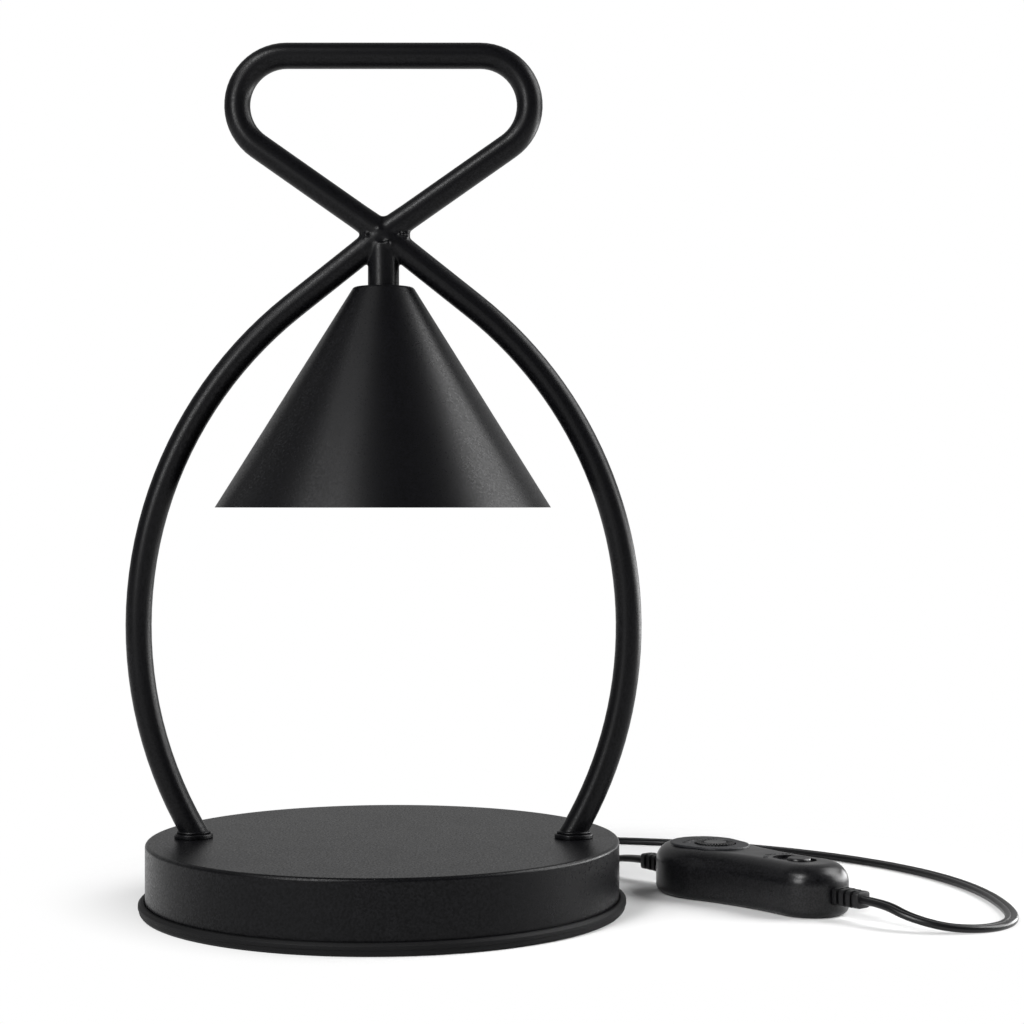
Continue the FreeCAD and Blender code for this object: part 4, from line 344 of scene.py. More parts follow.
def grained(name, dark, light, grain, sockets=(), shine=None, skin=None, finer=None,
            stretch=None):
    """A material whose colour runs between two tones with a noise. grain is the noise's scale
    per metre and its detail, and stretch draws it out. shine is the roughness at its two
    ends. skin is the strength and depth, in millimetres, of a relief with the same noise, or
    with a noise of its own where finer gives one. sockets are the shader's values."""
    material, shader = new_material(name)
    for socket, value in dict(sockets).items():
        shader.inputs[socket].default_value = value
    place = add_node(material, "ShaderNodeTexCoord").outputs["Object"]
    if stretch:
        place = add_node(material, "ShaderNodeMapping",
                         {"Vector": place, "Scale": stretch}).outputs["Vector"]
    pattern = add_node(material, "ShaderNodeTexNoise", {
        "Vector": place, "Scale": grain[0], "Detail": grain[1]}).outputs["Fac"]
    if shine:
        gloss = add_node(material, "ShaderNodeMapRange", {
            "Value": pattern, "To Min": shine[0], "To Max": shine[1]})
        link(material, gloss.outputs["Result"], shader.inputs["Roughness"])
    height = pattern
    if finer:
        height = add_node(material, "ShaderNodeTexNoise", {
            "Vector": place, "Scale": finer[0], "Detail": finer[1]}).outputs["Fac"]
    relief = (height, *skin) if skin else ()
    tone_and_relief(material, shader, pattern, dark, light, *relief)
    return material


def cord_pvc():
    """Plasticised PVC, extruded: soft satin black with a faint waver along its length."""
    return grained("cord_pvc_extruded", "#070708", "#121214", (160.0, 3.0), skin=(0.25, 0.3),
                   sockets={"Roughness": 0.3, "Specular IOR Level": 0.3})


def dress(material, *names):
    """Gives carried-over nodes a material."""
    for name in names:
        nodes[name].data.materials.clear()
        nodes[name].data.materials.append(material)


def finish_piece(made, material, record_slot, *replaced, body="lamp"):
    """Gives a finished piece its material and its place among the lamp's parts."""
    made.data.materials.clear()
    made.data.materials.append(material)
    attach(made, body)
    if replaced:
        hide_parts(*replaced)
        dress(material, *replaced)
    return made


pvc = cord_pvc()
lamp_cord, lamp_line = twin_cord("cord_to_dimmer", lamp_side)
plug_cord, plug_line = twin_cord("cord_to_plug", to_coil + coil + to_plug)
finish_piece(lamp_cord, pvc, "cord_pvc", "lamp_cord")
finish_piece(plug_cord, pvc, "cord_pvc", "plug_cord_run", "plug_cord_coil", "plug_cord_end")
dress(pvc, "cord_tail", "dimmer_cord_tails")


# ---- plug ------------------------------------------------------------------------------
# PVC moulded over the cord's end and two nickelled brass blades. The body tapers back from
# its face, has cross ridges to hold it by, and ends in a strain relief with bending slots.

def block(name, low, high):
    """A block between two corners, in millimetres, left open for editing."""
    deselect()
    low, high = Vector(low) * mm, Vector(high) * mm
    bpy.ops.mesh.primitive_cube_add(size=1, location=(0, 0, 0))
    made = bpy.context.object
    made.name = made.data.name = name
    bpy.ops.object.mode_set(mode="EDIT")
    bpy.ops.mesh.select_all(action="SELECT")
    bpy.ops.transform.resize(value=high - low)
    bpy.ops.transform.translate(value=(low + high) / 2)
    return made


def pick(kind, test):
    """Selects the faces or edges of the mesh being edited whose middle, in millimetres, and
    direction pass a test: a face's direction is its normal."""
    bpy.ops.mesh.select_mode(type=kind)
    bpy.ops.mesh.select_all(action="DESELECT")
    mesh = bmesh.from_edit_mesh(bpy.context.object.data)
    mesh.normal_update()
    if kind == "FACE":
        for face in mesh.faces:
            face.select_set(bool(test(face.calc_center_median() / mm, face.normal)))
    else:
        for edge in mesh.edges:
            first, second = (corner.co for corner in edge.verts)
            along = (second - first).normalized()
            edge.select_set(bool(test((first + second) / 2 / mm, along)))
    mesh.select_flush_mode()
    bmesh.update_edit_mesh(bpy.context.object.data)


def slice_up(axis, places):
    """Cuts new edges all round the mesh being edited, at these places along an axis."""
    for place in places:
        bpy.ops.mesh.select_all(action="SELECT")
        bpy.ops.mesh.bisect(plane_co=axis * place * mm, plane_no=axis)


def soften_edges(width, sharp=40):
    """A small rounding on every edge sharper than that many degrees."""
    bpy.ops.mesh.select_mode(type="EDGE")
    bpy.ops.mesh.select_all(action="DESELECT")
    bpy.ops.mesh.edges_select_sharp(sharpness=math.radians(sharp))
    bpy.ops.mesh.bevel(offset=width * mm, segments=2, affect="EDGES", clamp_overlap=True)


def moulded_pvc():
    """Injection-moulded soft PVC: black, with the fine matt of a blasted mould, whose grain
    is drawn at 0.5 mm to show."""
    return grained("moulded_pvc", "#070708", "#121214", (90.0, 3.0),
                   skin=(0.3, 0.08), finer=(2000.0, 2.0),
                   sockets={"Roughness": 0.4, "Specular IOR Level": 0.3})


X, Y, Z = Vector((1, 0, 0)), Vector((0, 1, 0)), Vector((0, 0, 1))
plug_pvc = moulded_pvc()

ridge_edges = [-25.6 + 1.3 * n for n in range(8)]
plug = block("moulded_plug", (-29, 175, 0), (-5, 199, 13))
pick("FACE", lambda at, way: way.x < -0.9)
bpy.ops.transform.resize(value=(1, 13 / 24, 10 / 13))
pick("EDGE", lambda at, way: abs(way.x) > 0.8)
bpy.ops.mesh.bevel(offset=2.5 * mm, segments=5, affect="EDGES")
slice_up(X, [*ridge_edges, -8.5])
pick("FACE", lambda at, way: abs(way.z) > 0.95 and any(
    low < at.x < low + 1.3 for low in ridge_edges[:-1:2]))
bpy.ops.mesh.extrude_region_shrink_fatten(TRANSFORM_OT_shrink_fatten={"value": -0.6 * mm})
pick("FACE", lambda at, way: way.x > 0.9)
bpy.ops.mesh.inset(thickness=1.2 * mm)
bpy.ops.transform.translate(value=(-0.4 * mm, 0, 0))
soften_edges(0.25)
close_up()


def cut_away(made, cutter):
    """Takes the space of a cutter out of a piece, and the cutter with it."""
    cut = made.modifiers.new("cut", "BOOLEAN")
    cut.operation = "DIFFERENCE"
    cut.object = cutter
    activate(made)
    bpy.ops.object.modifier_apply(modifier="cut")
    bpy.data.objects.remove(cutter)


def joined(pieces):
    """Joins pieces into the first of them."""
    deselect()
    for piece in pieces:
        piece.select_set(True)
    bpy.context.view_layer.objects.active = pieces[0]
    bpy.ops.object.join()
    return pieces[0]


def slotted_relief(name, length, base, tip, drop, slots, neck=0, flange=0):
    """A strain relief along +X from the origin. base and tip are half its width and height
    at its ends, drop how far its tip hangs, slots where its bending slots start. neck is the
    length of a thinner part behind the origin, and flange that of a full-size one behind."""
    made = block(name, (0, -base[0], -base[1]), (length, base[0], base[1]))
    pick("FACE", lambda at, way: way.x > 0.9)
    bpy.ops.transform.resize(value=(1, tip[0] / base[0], tip[1] / base[1]))
    bpy.ops.transform.translate(value=(0, 0, -drop * mm))
    pick("EDGE", lambda at, way: abs(way.x) > 0.8)
    bpy.ops.mesh.bevel(offset=1.3 * mm, segments=4, affect="EDGES")
    if neck:
        pick("FACE", lambda at, way: way.x < -0.9)
        bpy.ops.mesh.inset(thickness=1.05 * mm)
        bpy.ops.mesh.extrude_region_move(TRANSFORM_OT_translate={"value": (-neck * mm, 0, 0)})
        bpy.ops.mesh.extrude_region_move(TRANSFORM_OT_translate={"value": (0, 0, 0)})
        bpy.ops.transform.resize(value=(1, base[0] / (base[0] - 1.05),
                                        base[1] / (base[1] - 1.05)))
        bpy.ops.mesh.extrude_region_move(TRANSFORM_OT_translate={"value": (-flange * mm, 0, 0)})
    soften_edges(0.2)
    close_up()
    # each slot leaves the cord's jacket whole, and a spine above and below it
    slot_width, spine, jacket_wide, jacket_high, clear = 1.4, 0.65, 3.1, 1.7, 9
    for inner, outer in (((spine, jacket_high), (clear, clear)),
                         ((spine, -clear), (clear, -jacket_high)),
                         ((jacket_wide, -clear), (clear, clear))):
        cutters = []
        for start in slots:
            sag = -drop * (start + slot_width / 2) / length
            for low, high in ((inner[0], outer[0]), (-outer[0], -inner[0])):
                cutters.append(block("cutter", (start, low, inner[1] + sag),
                                     (start + slot_width, high, outer[1] + sag)))
                close_up()
        cut_away(made, joined(cutters))
    bpy.ops.object.shade_smooth_by_angle(angle=math.radians(35))
    return made


def lay_piece(made, place, turn=0):
    """Lays a piece that was made at the origin in its place, in millimetres and degrees, and
    applies the place to its mesh."""
    activate(made)
    made.location = [number * mm for number in place]
    made.rotation_euler = (0, 0, math.radians(turn))
    bpy.ops.object.transform_apply(location=True, rotation=True, scale=True)
    return made


plug_relief = slotted_relief("slotted_plug_relief", 22, (4.5, 3.7), (3.5, 2.3), 2.2,
                             [2.4 + 3.4 * n for n in range(5)])
lay_piece(plug_relief, (-29, 187, 6.5), 180)
finish_piece(plug, plug_pvc, "plug_pvc", "plug_body")
finish_piece(plug_relief, plug_pvc, "plug_pvc", "plug_relief")


def nickel_plate():
    """Bright nickel on stamped brass: warm grey metal with faint strokes along the blade."""
    return grained("nickel_plated_brass", "#a8a294", "#cfcabd", (1.0, 4.0),
                   {"Metallic": 1.0}, shine=(0.18, 0.34), stretch=(60, 900, 900))


nickel = nickel_plate()
dress(nickel, "plug_blades")


# ---- cord tie --------------------------------------------------------------------------
# A strap of black hook-and-loop tape round the coil. It is woven nylon with a soft pile,
# closed on itself on top, and holds the turns side by side.

def rounded(corners, steps=4):
    """An outline through corners (x, y, radius), each rounded by its radius."""
    points = []
    for n, (x, y, radius) in enumerate(corners):
        here = Vector((x, y))
        if not radius:
            points.append(here)
            continue
        back = (Vector(corners[n - 1][:2]) - here).normalized()
        ahead = (Vector(corners[n + 1][:2]) - here).normalized()
        half = back.angle(ahead) / 2
        centre = here + (back + ahead).normalized() * (radius / math.sin(half))
        reach = radius / math.tan(half)
        start, end = here + back * reach - centre, here + ahead * reach - centre
        for step in range(steps + 1):
            points.append(centre + start.lerp(end, step / steps).normalized() * radius)
    return points


def drawn(name, spots):
    """An open line of edges through points in metres, drawn from one vertex and left open
    for editing, all selected."""
    deselect()
    bpy.ops.mesh.primitive_plane_add(size=mm, location=(0, 0, 0))
    made = bpy.context.object
    made.name = made.data.name = name
    bpy.ops.object.mode_set(mode="EDIT")
    bpy.ops.mesh.select_mode(type="VERT")
    bpy.ops.mesh.merge(type="CENTER")
    bpy.ops.transform.translate(value=spots[0])
    for here, there in zip(spots, spots[1:]):
        bpy.ops.mesh.extrude_vertices_move(TRANSFORM_OT_translate={"value": there - here})
    bpy.ops.mesh.select_all(action="SELECT")
    return made


def wall(made, thickness):
    """Gives an open sheet its thickness, half to each side, in millimetres."""
    solidify = made.modifiers.new("wall", "SOLIDIFY")
    solidify.thickness = thickness * mm
    solidify.offset = 0
    bpy.ops.object.modifier_apply(modifier="wall")


strap_edge, strap_width = -65, 6
strap_line = rounded([(104, 7.85, 0), (90.75, 7.85, 1.8), (90.75, 0.4, 1.8), (109.25, 0.4, 1.8),
                      (109.25, 8.62, 2.2), (96, 8.6, 0)])
strap = drawn("loop_strap", [Vector((strap_edge, y, z)) * mm for y, z in strap_line])
bpy.ops.mesh.extrude_region_move(TRANSFORM_OT_translate={"value": (strap_width * mm, 0, 0)})
close_up()
wall(strap, 0.7)


def loop_tape():
    """Woven nylon tape with a napped pile: deep black and dull, with soft ribs across it,
    drawn 5 mm apart."""
    material, shader = new_material("nylon_loop_tape")
    shader.inputs["Roughness"].default_value = 0.85
    shader.inputs["Sheen Weight"].default_value = 0.4
    shader.inputs["Sheen Roughness"].default_value = 0.5
    place = add_node(material, "ShaderNodeTexCoord")
    ribs = add_node(material, "ShaderNodeTexWave", {
        "Vector": place.outputs["Object"], "Scale": 63.0, "Distortion": 1.5, "Detail": 2.0,
        "Detail Scale": 12.0,
    }, bands_direction="Y")
    pile = add_node(material, "ShaderNodeTexNoise",
                    {"Vector": place.outputs["Object"], "Scale": 2600.0, "Detail": 3.0})
    height = add_node(material, "ShaderNodeMath",
                      {0: ribs.outputs["Fac"], 1: pile.outputs["Fac"]}, operation="ADD")
    tone_and_relief(material, shader, pile.outputs["Fac"], "#0b0b0c", "#222224",
                    height.outputs["Value"], 0.6, 0.15)
    return material


finish_piece(strap, loop_tape(), "cord_tie", "cord_tie")


# ---- weighted base ---------------------------------------------------------------------
# A pan drawn from sheet steel and powder coated, over a cast iron ballast plate and a sheet
# bottom that three screws hold. A soft ring is clamped round the pan's lower edge.

def black_powder_coat():
    """Fine-texture polyester powder coat, baked on: deep black and low in gloss, so that it
    is dark seen square on and pale at a grazing angle. Its sandy texture is 0.6 mm, drawn
    at 0.9 mm to show."""
    material, shader = new_material("black_powder_coat")
    shader.inputs["Specular IOR Level"].default_value = 0.13
    place = add_node(material, "ShaderNodeTexCoord")
    sand = add_node(material, "ShaderNodeTexNoise",
                    {"Vector": place.outputs["Object"], "Scale": 1150.0, "Detail": 2.5})
    flow = add_node(material, "ShaderNodeTexNoise",
                    {"Vector": place.outputs["Object"], "Scale": 55.0, "Detail": 3.0})
    grains = add_node(material, "ShaderNodeMapRange", {
        "Value": sand.outputs["Fac"], "From Min": 0.36, "From Max": 0.64})
    tone_and_relief(material, shader, grains.outputs["Result"], "#020203", "#101012",
                    sand.outputs["Fac"], 0.3, 0.05)
    gloss = add_node(material, "ShaderNodeMapRange", {
        "Value": flow.outputs["Fac"], "From Min": 0.3, "From Max": 0.7,
        "To Min": 0.4, "To Max": 0.42})
    sparkle = add_node(material, "ShaderNodeMapRange", {
        "Value": grains.outputs["Result"], "To Min": 0.0, "To Max": -0.14})
    rough = add_node(material, "ShaderNodeMath", {
        0: gloss.outputs["Result"], 1: sparkle.outputs["Result"]}, operation="ADD")
    link(material, rough.outputs["Value"], shader.inputs["Roughness"])
    return material


def spun(name, outline, middle=(0, 0, 0), along=Z, steps=96):
    """A round piece: its outline, in millimetres out from its axis and along it, is spun
    about the axis through middle."""
    across = Y if along is X else X
    centre = Vector(middle) * mm
    made = drawn(name, [centre + (across * out + along * up) * mm for out, up in outline])
    bpy.ops.mesh.spin(steps=steps, angle=2 * math.pi, center=centre, axis=along)
    close_up()
    return made


def ring_rubber():
    """Moulded thermoplastic rubber: matt charcoal with a slightly dusty skin."""
    return grained("moulded_rubber", "#0a0a0b", "#141415", (40.0, 4.0),
                   {"Specular IOR Level": 0.12}, shine=(0.5, 0.68),
                   skin=(0.35, 0.08), finer=(900.0, 3.0))


def black_sheet():
    """Electro-coated sheet steel: thin even black over the rolled sheet's faint grain."""
    return grained("electro_coated_sheet", "#161618", "#242528", (1.0, 3.0),
                   {"Roughness": 0.5}, skin=(0.2, 0.03), stretch=(30, 1200, 30))


def cast_iron():
    """Sand-cast iron under a thin primer: dark grey, grainy and a little rusty in the pits."""
    material, shader = new_material("cast_iron")
    shader.inputs["Roughness"].default_value = 0.78
    place = add_node(material, "ShaderNodeTexCoord")
    sand = add_node(material, "ShaderNodeTexNoise",     # 1 mm sand grain
                    {"Vector": place.outputs["Object"], "Scale": 1000.0, "Detail": 4.0})
    stain = add_node(material, "ShaderNodeTexNoise",
                     {"Vector": place.outputs["Object"], "Scale": 45.0, "Detail": 5.0})
    rust = add_node(material, "ShaderNodeMapRange", {
        "Value": stain.outputs["Fac"], "From Min": 0.52, "From Max": 0.72})
    grey = add_node(material, "ShaderNodeMix", {
        0: sand.outputs["Fac"], 6: hex_colour("#2b2b2c"), 7: hex_colour("#454546"),
    }, data_type="RGBA")
    tone = add_node(material, "ShaderNodeMix", {
        0: rust.outputs["Result"], 6: grey.outputs[2], 7: hex_colour("#4a3226"),
    }, data_type="RGBA")
    link(material, tone.outputs[2], shader.inputs["Base Color"])
    pits = add_node(material, "ShaderNodeBump", {
        "Height": sand.outputs["Fac"], "Strength": 0.7, "Distance": 0.3 * mm,
    })
    link(material, pits.outputs["Normal"], shader.inputs["Normal"])
    return material


def zinc_plate():
    """Bright zinc on turned and pressed steel, passivated: bluish grey, softly mottled."""
    return grained("zinc_plated_steel", "#878d93", "#b7bbbd", (350.0, 4.0),
                   {"Metallic": 1.0}, shine=(0.26, 0.44))


def nylon():
    """Moulded natural nylon: milky white, a little waxy."""
    return grained("white_nylon", "#dedbd0", "#ecebe3", (220.0, 3.0), {"Roughness": 0.42},
                   skin=(0.15, 0.05))


coat, zinc = black_powder_coat(), zinc_plate()
base_top, pan_bottom, pan_radius, pan_sheet, pan_edge = 28.8, 4, 98.15, 1.2, 1.5
foot_x, cord_exit = 79.2, 14.2
beside_edge = pan_edge + 0.1     # keeps the shading of the rounded edge off the flat faces
pan = spun("drawn_pan", rounded([
    (0, base_top - pan_sheet, 0), (pan_radius - pan_sheet, base_top - pan_sheet, 0.3),
    (pan_radius - pan_sheet, pan_bottom, 0), (pan_radius, pan_bottom, 0),
    (pan_radius, base_top - beside_edge, 0), (pan_radius, base_top, pan_edge),
    (pan_radius - beside_edge, base_top, 0), (0, base_top, 0),
], steps=8), steps=256)
for side in (-1, 1):
    cut_away(pan, spun("foot_hole", [(0, 27), (4.2, 27), (4.2, 30), (0, 30)],
                       (side * foot_x, 0, 0), steps=48))
cut_away(pan, spun("cord_hole", [(0, 92), (4.3, 92), (4.3, 101), (0, 101)],
                   (0, 0, cord_exit), Y, 48))
bpy.ops.object.shade_smooth_by_angle(angle=math.radians(35))
finish_piece(pan, coat, "powder_coat", "base_housing")
dress(black_sheet(), "bottom_plate")
dress(cast_iron(), "ballast_plate")
dress(zinc, "base_pillars", "foot_washers", "foot_nuts", "terminal_screws")
dress(nylon(), "terminal_block")

edge_ring = spun("rubber_edge_ring", rounded([
    (94.05, 3.2, 0), (97.25, 3.2, 0.2), (97.25, 0, 0.3), (99.6, 0, 0.5), (100.55, 1.1, 0.6),
    (100.55, 2.5, 0.15), (101, 2.75, 0.15), (101, 4.1, 0.5), (99.9, 5.2, 0.6),
    (98.45, 5.2, 0.4), (98.45, 4, 0), (94.05, 4, 0), (94.05, 3.2, 0),
]), steps=192)
finish_piece(edge_ring, ring_rubber(), "soft_black", "base_edge_ring")


def cross_screw(name, head, head_height, shank, length, spots, up):
    """Pan-head screws with a cross recess, in millimetres: the head stands on the plane at
    each spot's height and looks up or down, and the shank goes the other way."""
    made = spun(name, rounded([
        (0, up * head_height, 0), (head * 0.55, up * head_height, head * 0.3),
        (head, up * head_height * 0.45, head * 0.2), (head, 0, 0), (shank, 0, 0),
        (shank, up * (0.4 - length), 0), (shank - 0.4, -up * length, 0), (0, -up * length, 0),
    ]), steps=32)
    for turn in (0, 90):
        wing = block("recess", (-head * 0.62, -head * 0.13, -head * 0.45),
                     (head * 0.62, head * 0.13, head * 0.45))
        pick("FACE", lambda at, way: way.z * up < -0.9)
        bpy.ops.transform.resize(value=(0.35, 0.8, 1))
        close_up()
        cut_away(made, lay_piece(wing, (0, 0, up * head_height), turn))
    return set_out(made, [(*spot, 37 * n) for n, spot in enumerate(spots)])


def set_out(made, spots):
    """Copies a piece to each spot (x, y, z, turn) and joins the copies into one piece."""
    copies = []
    for x, y, z, turn in spots:
        activate(made)
        bpy.ops.object.duplicate(linked=False)
        copies.append(lay_piece(bpy.context.object, (x, y, z), turn))
    name = made.name
    bpy.data.objects.remove(made)
    made = joined(copies)
    made.name = made.data.name = name
    bpy.ops.object.shade_smooth_by_angle(angle=math.radians(35))
    return made


pillar_circle = 55
pillar_spots = [(pillar_circle * math.cos(math.radians(way)),
                 pillar_circle * math.sin(math.radians(way)), 2.0) for way in (30, 150, 270)]
base_screws = cross_screw("bottom_screws", 3.8, 1.7, 2.0, 12.2, pillar_spots, -1)
finish_piece(base_screws, zinc, "zinc_steel", "base_screws")

# The cord's bushing is snapped into the pan's wall: two flanges, and a tapered tail with
# ring grooves that lets the cord bend gently. It is the same soft PVC as the plug.
tail_start, tail_end = 99.65, 119.15
tail_rings = []
for n in range(6):
    groove = tail_start + 2.2 + n * 2.7
    radius = 4.3 - 0.7 * (groove - tail_start) / (tail_end - tail_start)
    tail_rings += [(radius, groove, 0.15), (radius - 0.6, groove, 0.1),
                   (radius - 0.65, groove + 1.2, 0.1), (radius - 0.05, groove + 1.2, 0.15)]
bushing = spun("grooved_bushing", rounded([
    (0, 95.15, 0), (5.75, 95.15, 0.4), (5.75, 96.65, 0.4), (4.3, 96.65, 0), (4.3, 98.15, 0),
    (5.75, 98.15, 0.3), (5.75, 99.65, 0.5), (4.3, 99.65, 0.3), *tail_rings,
    (3.6, 119.15, 0.6), (0, 119.15, 0),
]), (0, 0, cord_exit), Y, 48)
finish_piece(bushing, plug_pvc, "cord_pvc", "cord_bushing")


# ---- frame of bent tube ----------------------------------------------------------------
# Steel tube, bent, coped and welded where it crosses itself over the shade, ground smooth
# and powder coated in one piece with its feet.

dress(coat, "frame_tube", "right_leg_tube", "stem_tube")

bead_height = 31.2
for hand, side in (("left", -1), ("right", 1)):
    collar = spun(f"{hand}_collar", rounded([
        (3, 18.4, 0), (4, 18.4, 0.2), (4, 28.8, 0), (8, 28.8, 0.35), (8, 30.7, 0.5),
        (6.2, 30.8, 0.3), (5.4, 31.5, 0.2), (3, 31.5, 0), (3, 18.4, 0),
    ]), (side * foot_x, 0, 0), steps=64)
    finish_piece(collar, coat, "powder_coat", f"{hand}_foot_collar")

# Each leg leans 30 degrees where it is welded on its collar, so its bead is an oval.
lean = math.radians(30)
deselect()
bpy.ops.mesh.primitive_torus_add(major_radius=5.4 * mm, minor_radius=0.8 * mm,
                                 major_segments=64, minor_segments=12, location=(0, 0, 0))
foot_weld = bpy.context.object
foot_weld.name = "foot_welds"
bpy.ops.object.mode_set(mode="EDIT")
bpy.ops.transform.resize(value=(1 / math.cos(lean), 1, 0.8))
close_up(60)
foot_welds = set_out(foot_weld, [(side * foot_x, 0, bead_height, 0) for side in (-1, 1)])
finish_piece(foot_welds, coat, "powder_coat")

# The beads at the crossing: the tubes' arms are merged by a fine remesh and smoothed, which
# fills their corners as ground weld metal does, with a few lumps that the grinder left.
node_z = 280.2
arm_slopes = [(38.45, -1, -1), (38.45, 1, -1), (35.06, -1, 1), (35.06, 1, 1)]
arm_length, voxel = 17, 0.35


def weld_arm(way, near, far, end, start=0.0):
    """A solid arm of the crossing, which sinks into its tube at its far end."""
    deselect()
    bpy.ops.mesh.primitive_cone_add(
        vertices=96, radius1=near * mm, radius2=far * mm, depth=(end - start) * mm,
        location=(Z * node_z + way * (start + end) / 2) * mm,
        rotation=way.to_track_quat("Z", "Y").to_euler())
    return bpy.context.object


arms = [weld_arm(-Z, 6.75, 6.4, 19, 4.0)]
for slope, side, rise in arm_slopes:
    way = Vector((side * math.cos(math.radians(slope)), 0, rise * math.sin(math.radians(slope))))
    arms.append(weld_arm(way, 5.75, 5.35, arm_length))
for low, high in (((-0.7, -3.0, 4.5), (1.5, 3.0, 7.3)), ((8, -3.0, -1.5), (11.0, 3.0, 0.8)),
                  ((-10, -3.2, -0.9), (-8, 3.2, 0.3))):
    web = block("weld_web", low, high)
    bpy.ops.transform.translate(value=(0, 0, node_z * mm))
    bpy.ops.object.mode_set(mode="OBJECT")
    arms.append(web)
lumps = [(-1.5, -5.2, 1.5, 1.2), (-6.9, -4.5, -1.0, 1.2), (7.2, -4.4, -0.8, 1.1),
         (9.8, -3.9, -0.8, 1.1), (2.2, -5.9, -4.5, 1.3), (-5.8, 4.6, 0.4, 1.2),
         (4.2, 4.6, 1.2, 1.3), (0.8, 5.9, -4.6, 1.2)]
for x, y, z, radius in lumps:
    deselect()
    bpy.ops.mesh.primitive_ico_sphere_add(
        subdivisions=3, radius=radius * mm, location=(x * mm, y * mm, (node_z + z) * mm))
    arms.append(bpy.context.object)
welds = joined(arms)
welds.name = welds.data.name = "crossing_weld"
bpy.ops.object.transform_apply(location=True, rotation=True, scale=True)
welds.data.remesh_voxel_size = voxel * mm
bpy.ops.object.voxel_remesh()
settle = welds.modifiers.new("settle", "SMOOTH")
settle.factor = 0.5
settle.iterations = 48
bpy.ops.object.modifier_apply(modifier="settle")
bpy.ops.object.shade_smooth()
finish_piece(welds, coat, "powder_coat", "weld_beads")


# ---- shade -----------------------------------------------------------------------------
# A cone spun from sheet steel and powder coated in and out, clamped to the stem by a
# threaded nipple, a lock washer and a nut. A bent strip under the nut carries the holder.

dress(coat, "lamp_shade")
dress(zinc, "shade_nipple", "shade_washer", "shade_nut", "holder_bracket")


# ---- lamp holder -----------------------------------------------------------------------
# Twist-lock holder of two steatite pieces, screwed up under the strip, with two bronze
# contact springs over its keyhole slots.

def steatite():
    """Fired steatite, unglazed: warm white, faintly speckled and chalky."""
    material, shader = new_material("fired_steatite")
    shader.inputs["Roughness"].default_value = 0.6
    place = add_node(material, "ShaderNodeTexCoord")
    grit = add_node(material, "ShaderNodeTexNoise",
                    {"Vector": place.outputs["Object"], "Scale": 1800.0, "Detail": 2.0})
    cloud = add_node(material, "ShaderNodeTexNoise",
                     {"Vector": place.outputs["Object"], "Scale": 120.0, "Detail": 4.0})
    blend = add_node(material, "ShaderNodeMath",
                     {0: grit.outputs["Fac"], 1: cloud.outputs["Fac"]}, operation="MULTIPLY")
    spread = add_node(material, "ShaderNodeMapRange",
                      {"Value": blend.outputs["Value"], "From Min": 0.12, "From Max": 0.38})
    tone_and_relief(material, shader, spread.outputs["Result"], "#dcd9d0", "#efeee8",
                    grit.outputs["Fac"], 0.3, 0.05)
    return material


def spring_bronze():
    """Rolled phosphor bronze: reddish gold metal with a fine grain along the strip."""
    return grained("phosphor_bronze", "#9a6b3c", "#c2925a", (1.0, 3.0),
                   {"Metallic": 1.0, "Roughness": 0.32}, stretch=(100, 1500, 100))


ceramic = steatite()
dress(ceramic, "lamp_holder", "holder_cover")
dress(spring_bronze(), "holder_contacts")
holder_screws = cross_screw("cover_screws", 2.2, 1.6, 1.3, 12.0,
                            [(-12.4, 0, 249.2), (12.4, 0, 249.2)], 1)
finish_piece(holder_screws, zinc, "zinc_steel", "holder_screws")


# ---- twist-lock halogen lamp -----------------------------------------------------------
# Pressed glass reflector, 50 mm across, with a ribbed mirror coating, a clear front and a
# quartz capsule. It is cemented into a steatite base with two headed pins.

def bowed(start, end, radius, steps=8):
    """Points of an arc of that radius from start to end, bulging outwards from the axis."""
    start, end = Vector(start), Vector(end)
    half = (end - start) / 2
    away = Vector((-half.y, half.x)).normalized()
    if away.x > 0:
        away.negate()
    centre = start + half + away * math.sqrt(radius ** 2 - half.length_squared)
    first, last = start - centre, end - centre
    return [centre + first.lerp(last, n / steps).normalized() * radius
            for n in range(steps + 1)]


def clear_glass(name, colour):
    """Pressed or drawn clear glass: smooth, with faint waves from the mould."""
    material, shader = new_material(name)
    shader.inputs["Base Color"].default_value = hex_colour(colour)
    shader.inputs["Transmission Weight"].default_value = 1.0
    shader.inputs["IOR"].default_value = 1.5
    place = add_node(material, "ShaderNodeTexCoord")
    wave = add_node(material, "ShaderNodeTexNoise",
                    {"Vector": place.outputs["Object"], "Scale": 130.0, "Detail": 1.0})
    shine = add_node(material, "ShaderNodeMapRange", {
        "Value": wave.outputs["Fac"], "To Min": 0.02, "To Max": 0.06})
    link(material, shine.outputs["Result"], shader.inputs["Roughness"])
    ripple = add_node(material, "ShaderNodeBump", {
        "Height": wave.outputs["Fac"], "Strength": 0.2, "Distance": 0.1 * mm,
    })
    link(material, ripple.outputs["Normal"], shader.inputs["Normal"])
    return material


def mirror_coat():
    """Aluminium vapour-coated on pressed glass: a bright cool mirror, hazy at its pinholes.
    Each facet's colour is a painted reflection, dark and warm on some facets, bright on others."""
    material, shader = new_material("aluminium_mirror")
    shader.inputs["Metallic"].default_value = 1.0
    place = add_node(material, "ShaderNodeTexCoord")
    haze = add_node(material, "ShaderNodeTexNoise",
                    {"Vector": place.outputs["Object"], "Scale": 500.0, "Detail": 4.0})
    # painted reflection: each facet's tone stands in for the part of the room it would mirror
    facet = add_node(material, "ShaderNodeAttribute", attribute_name="painted_facet_reflection")
    tone_and_relief(material, shader, facet.outputs["Fac"], "#5a4f4c", "#f2f3f4")
    shine = add_node(material, "ShaderNodeMapRange", {
        "Value": haze.outputs["Fac"], "To Min": 0.04, "To Max": 0.1})
    link(material, shine.outputs["Result"], shader.inputs["Roughness"])
    return material


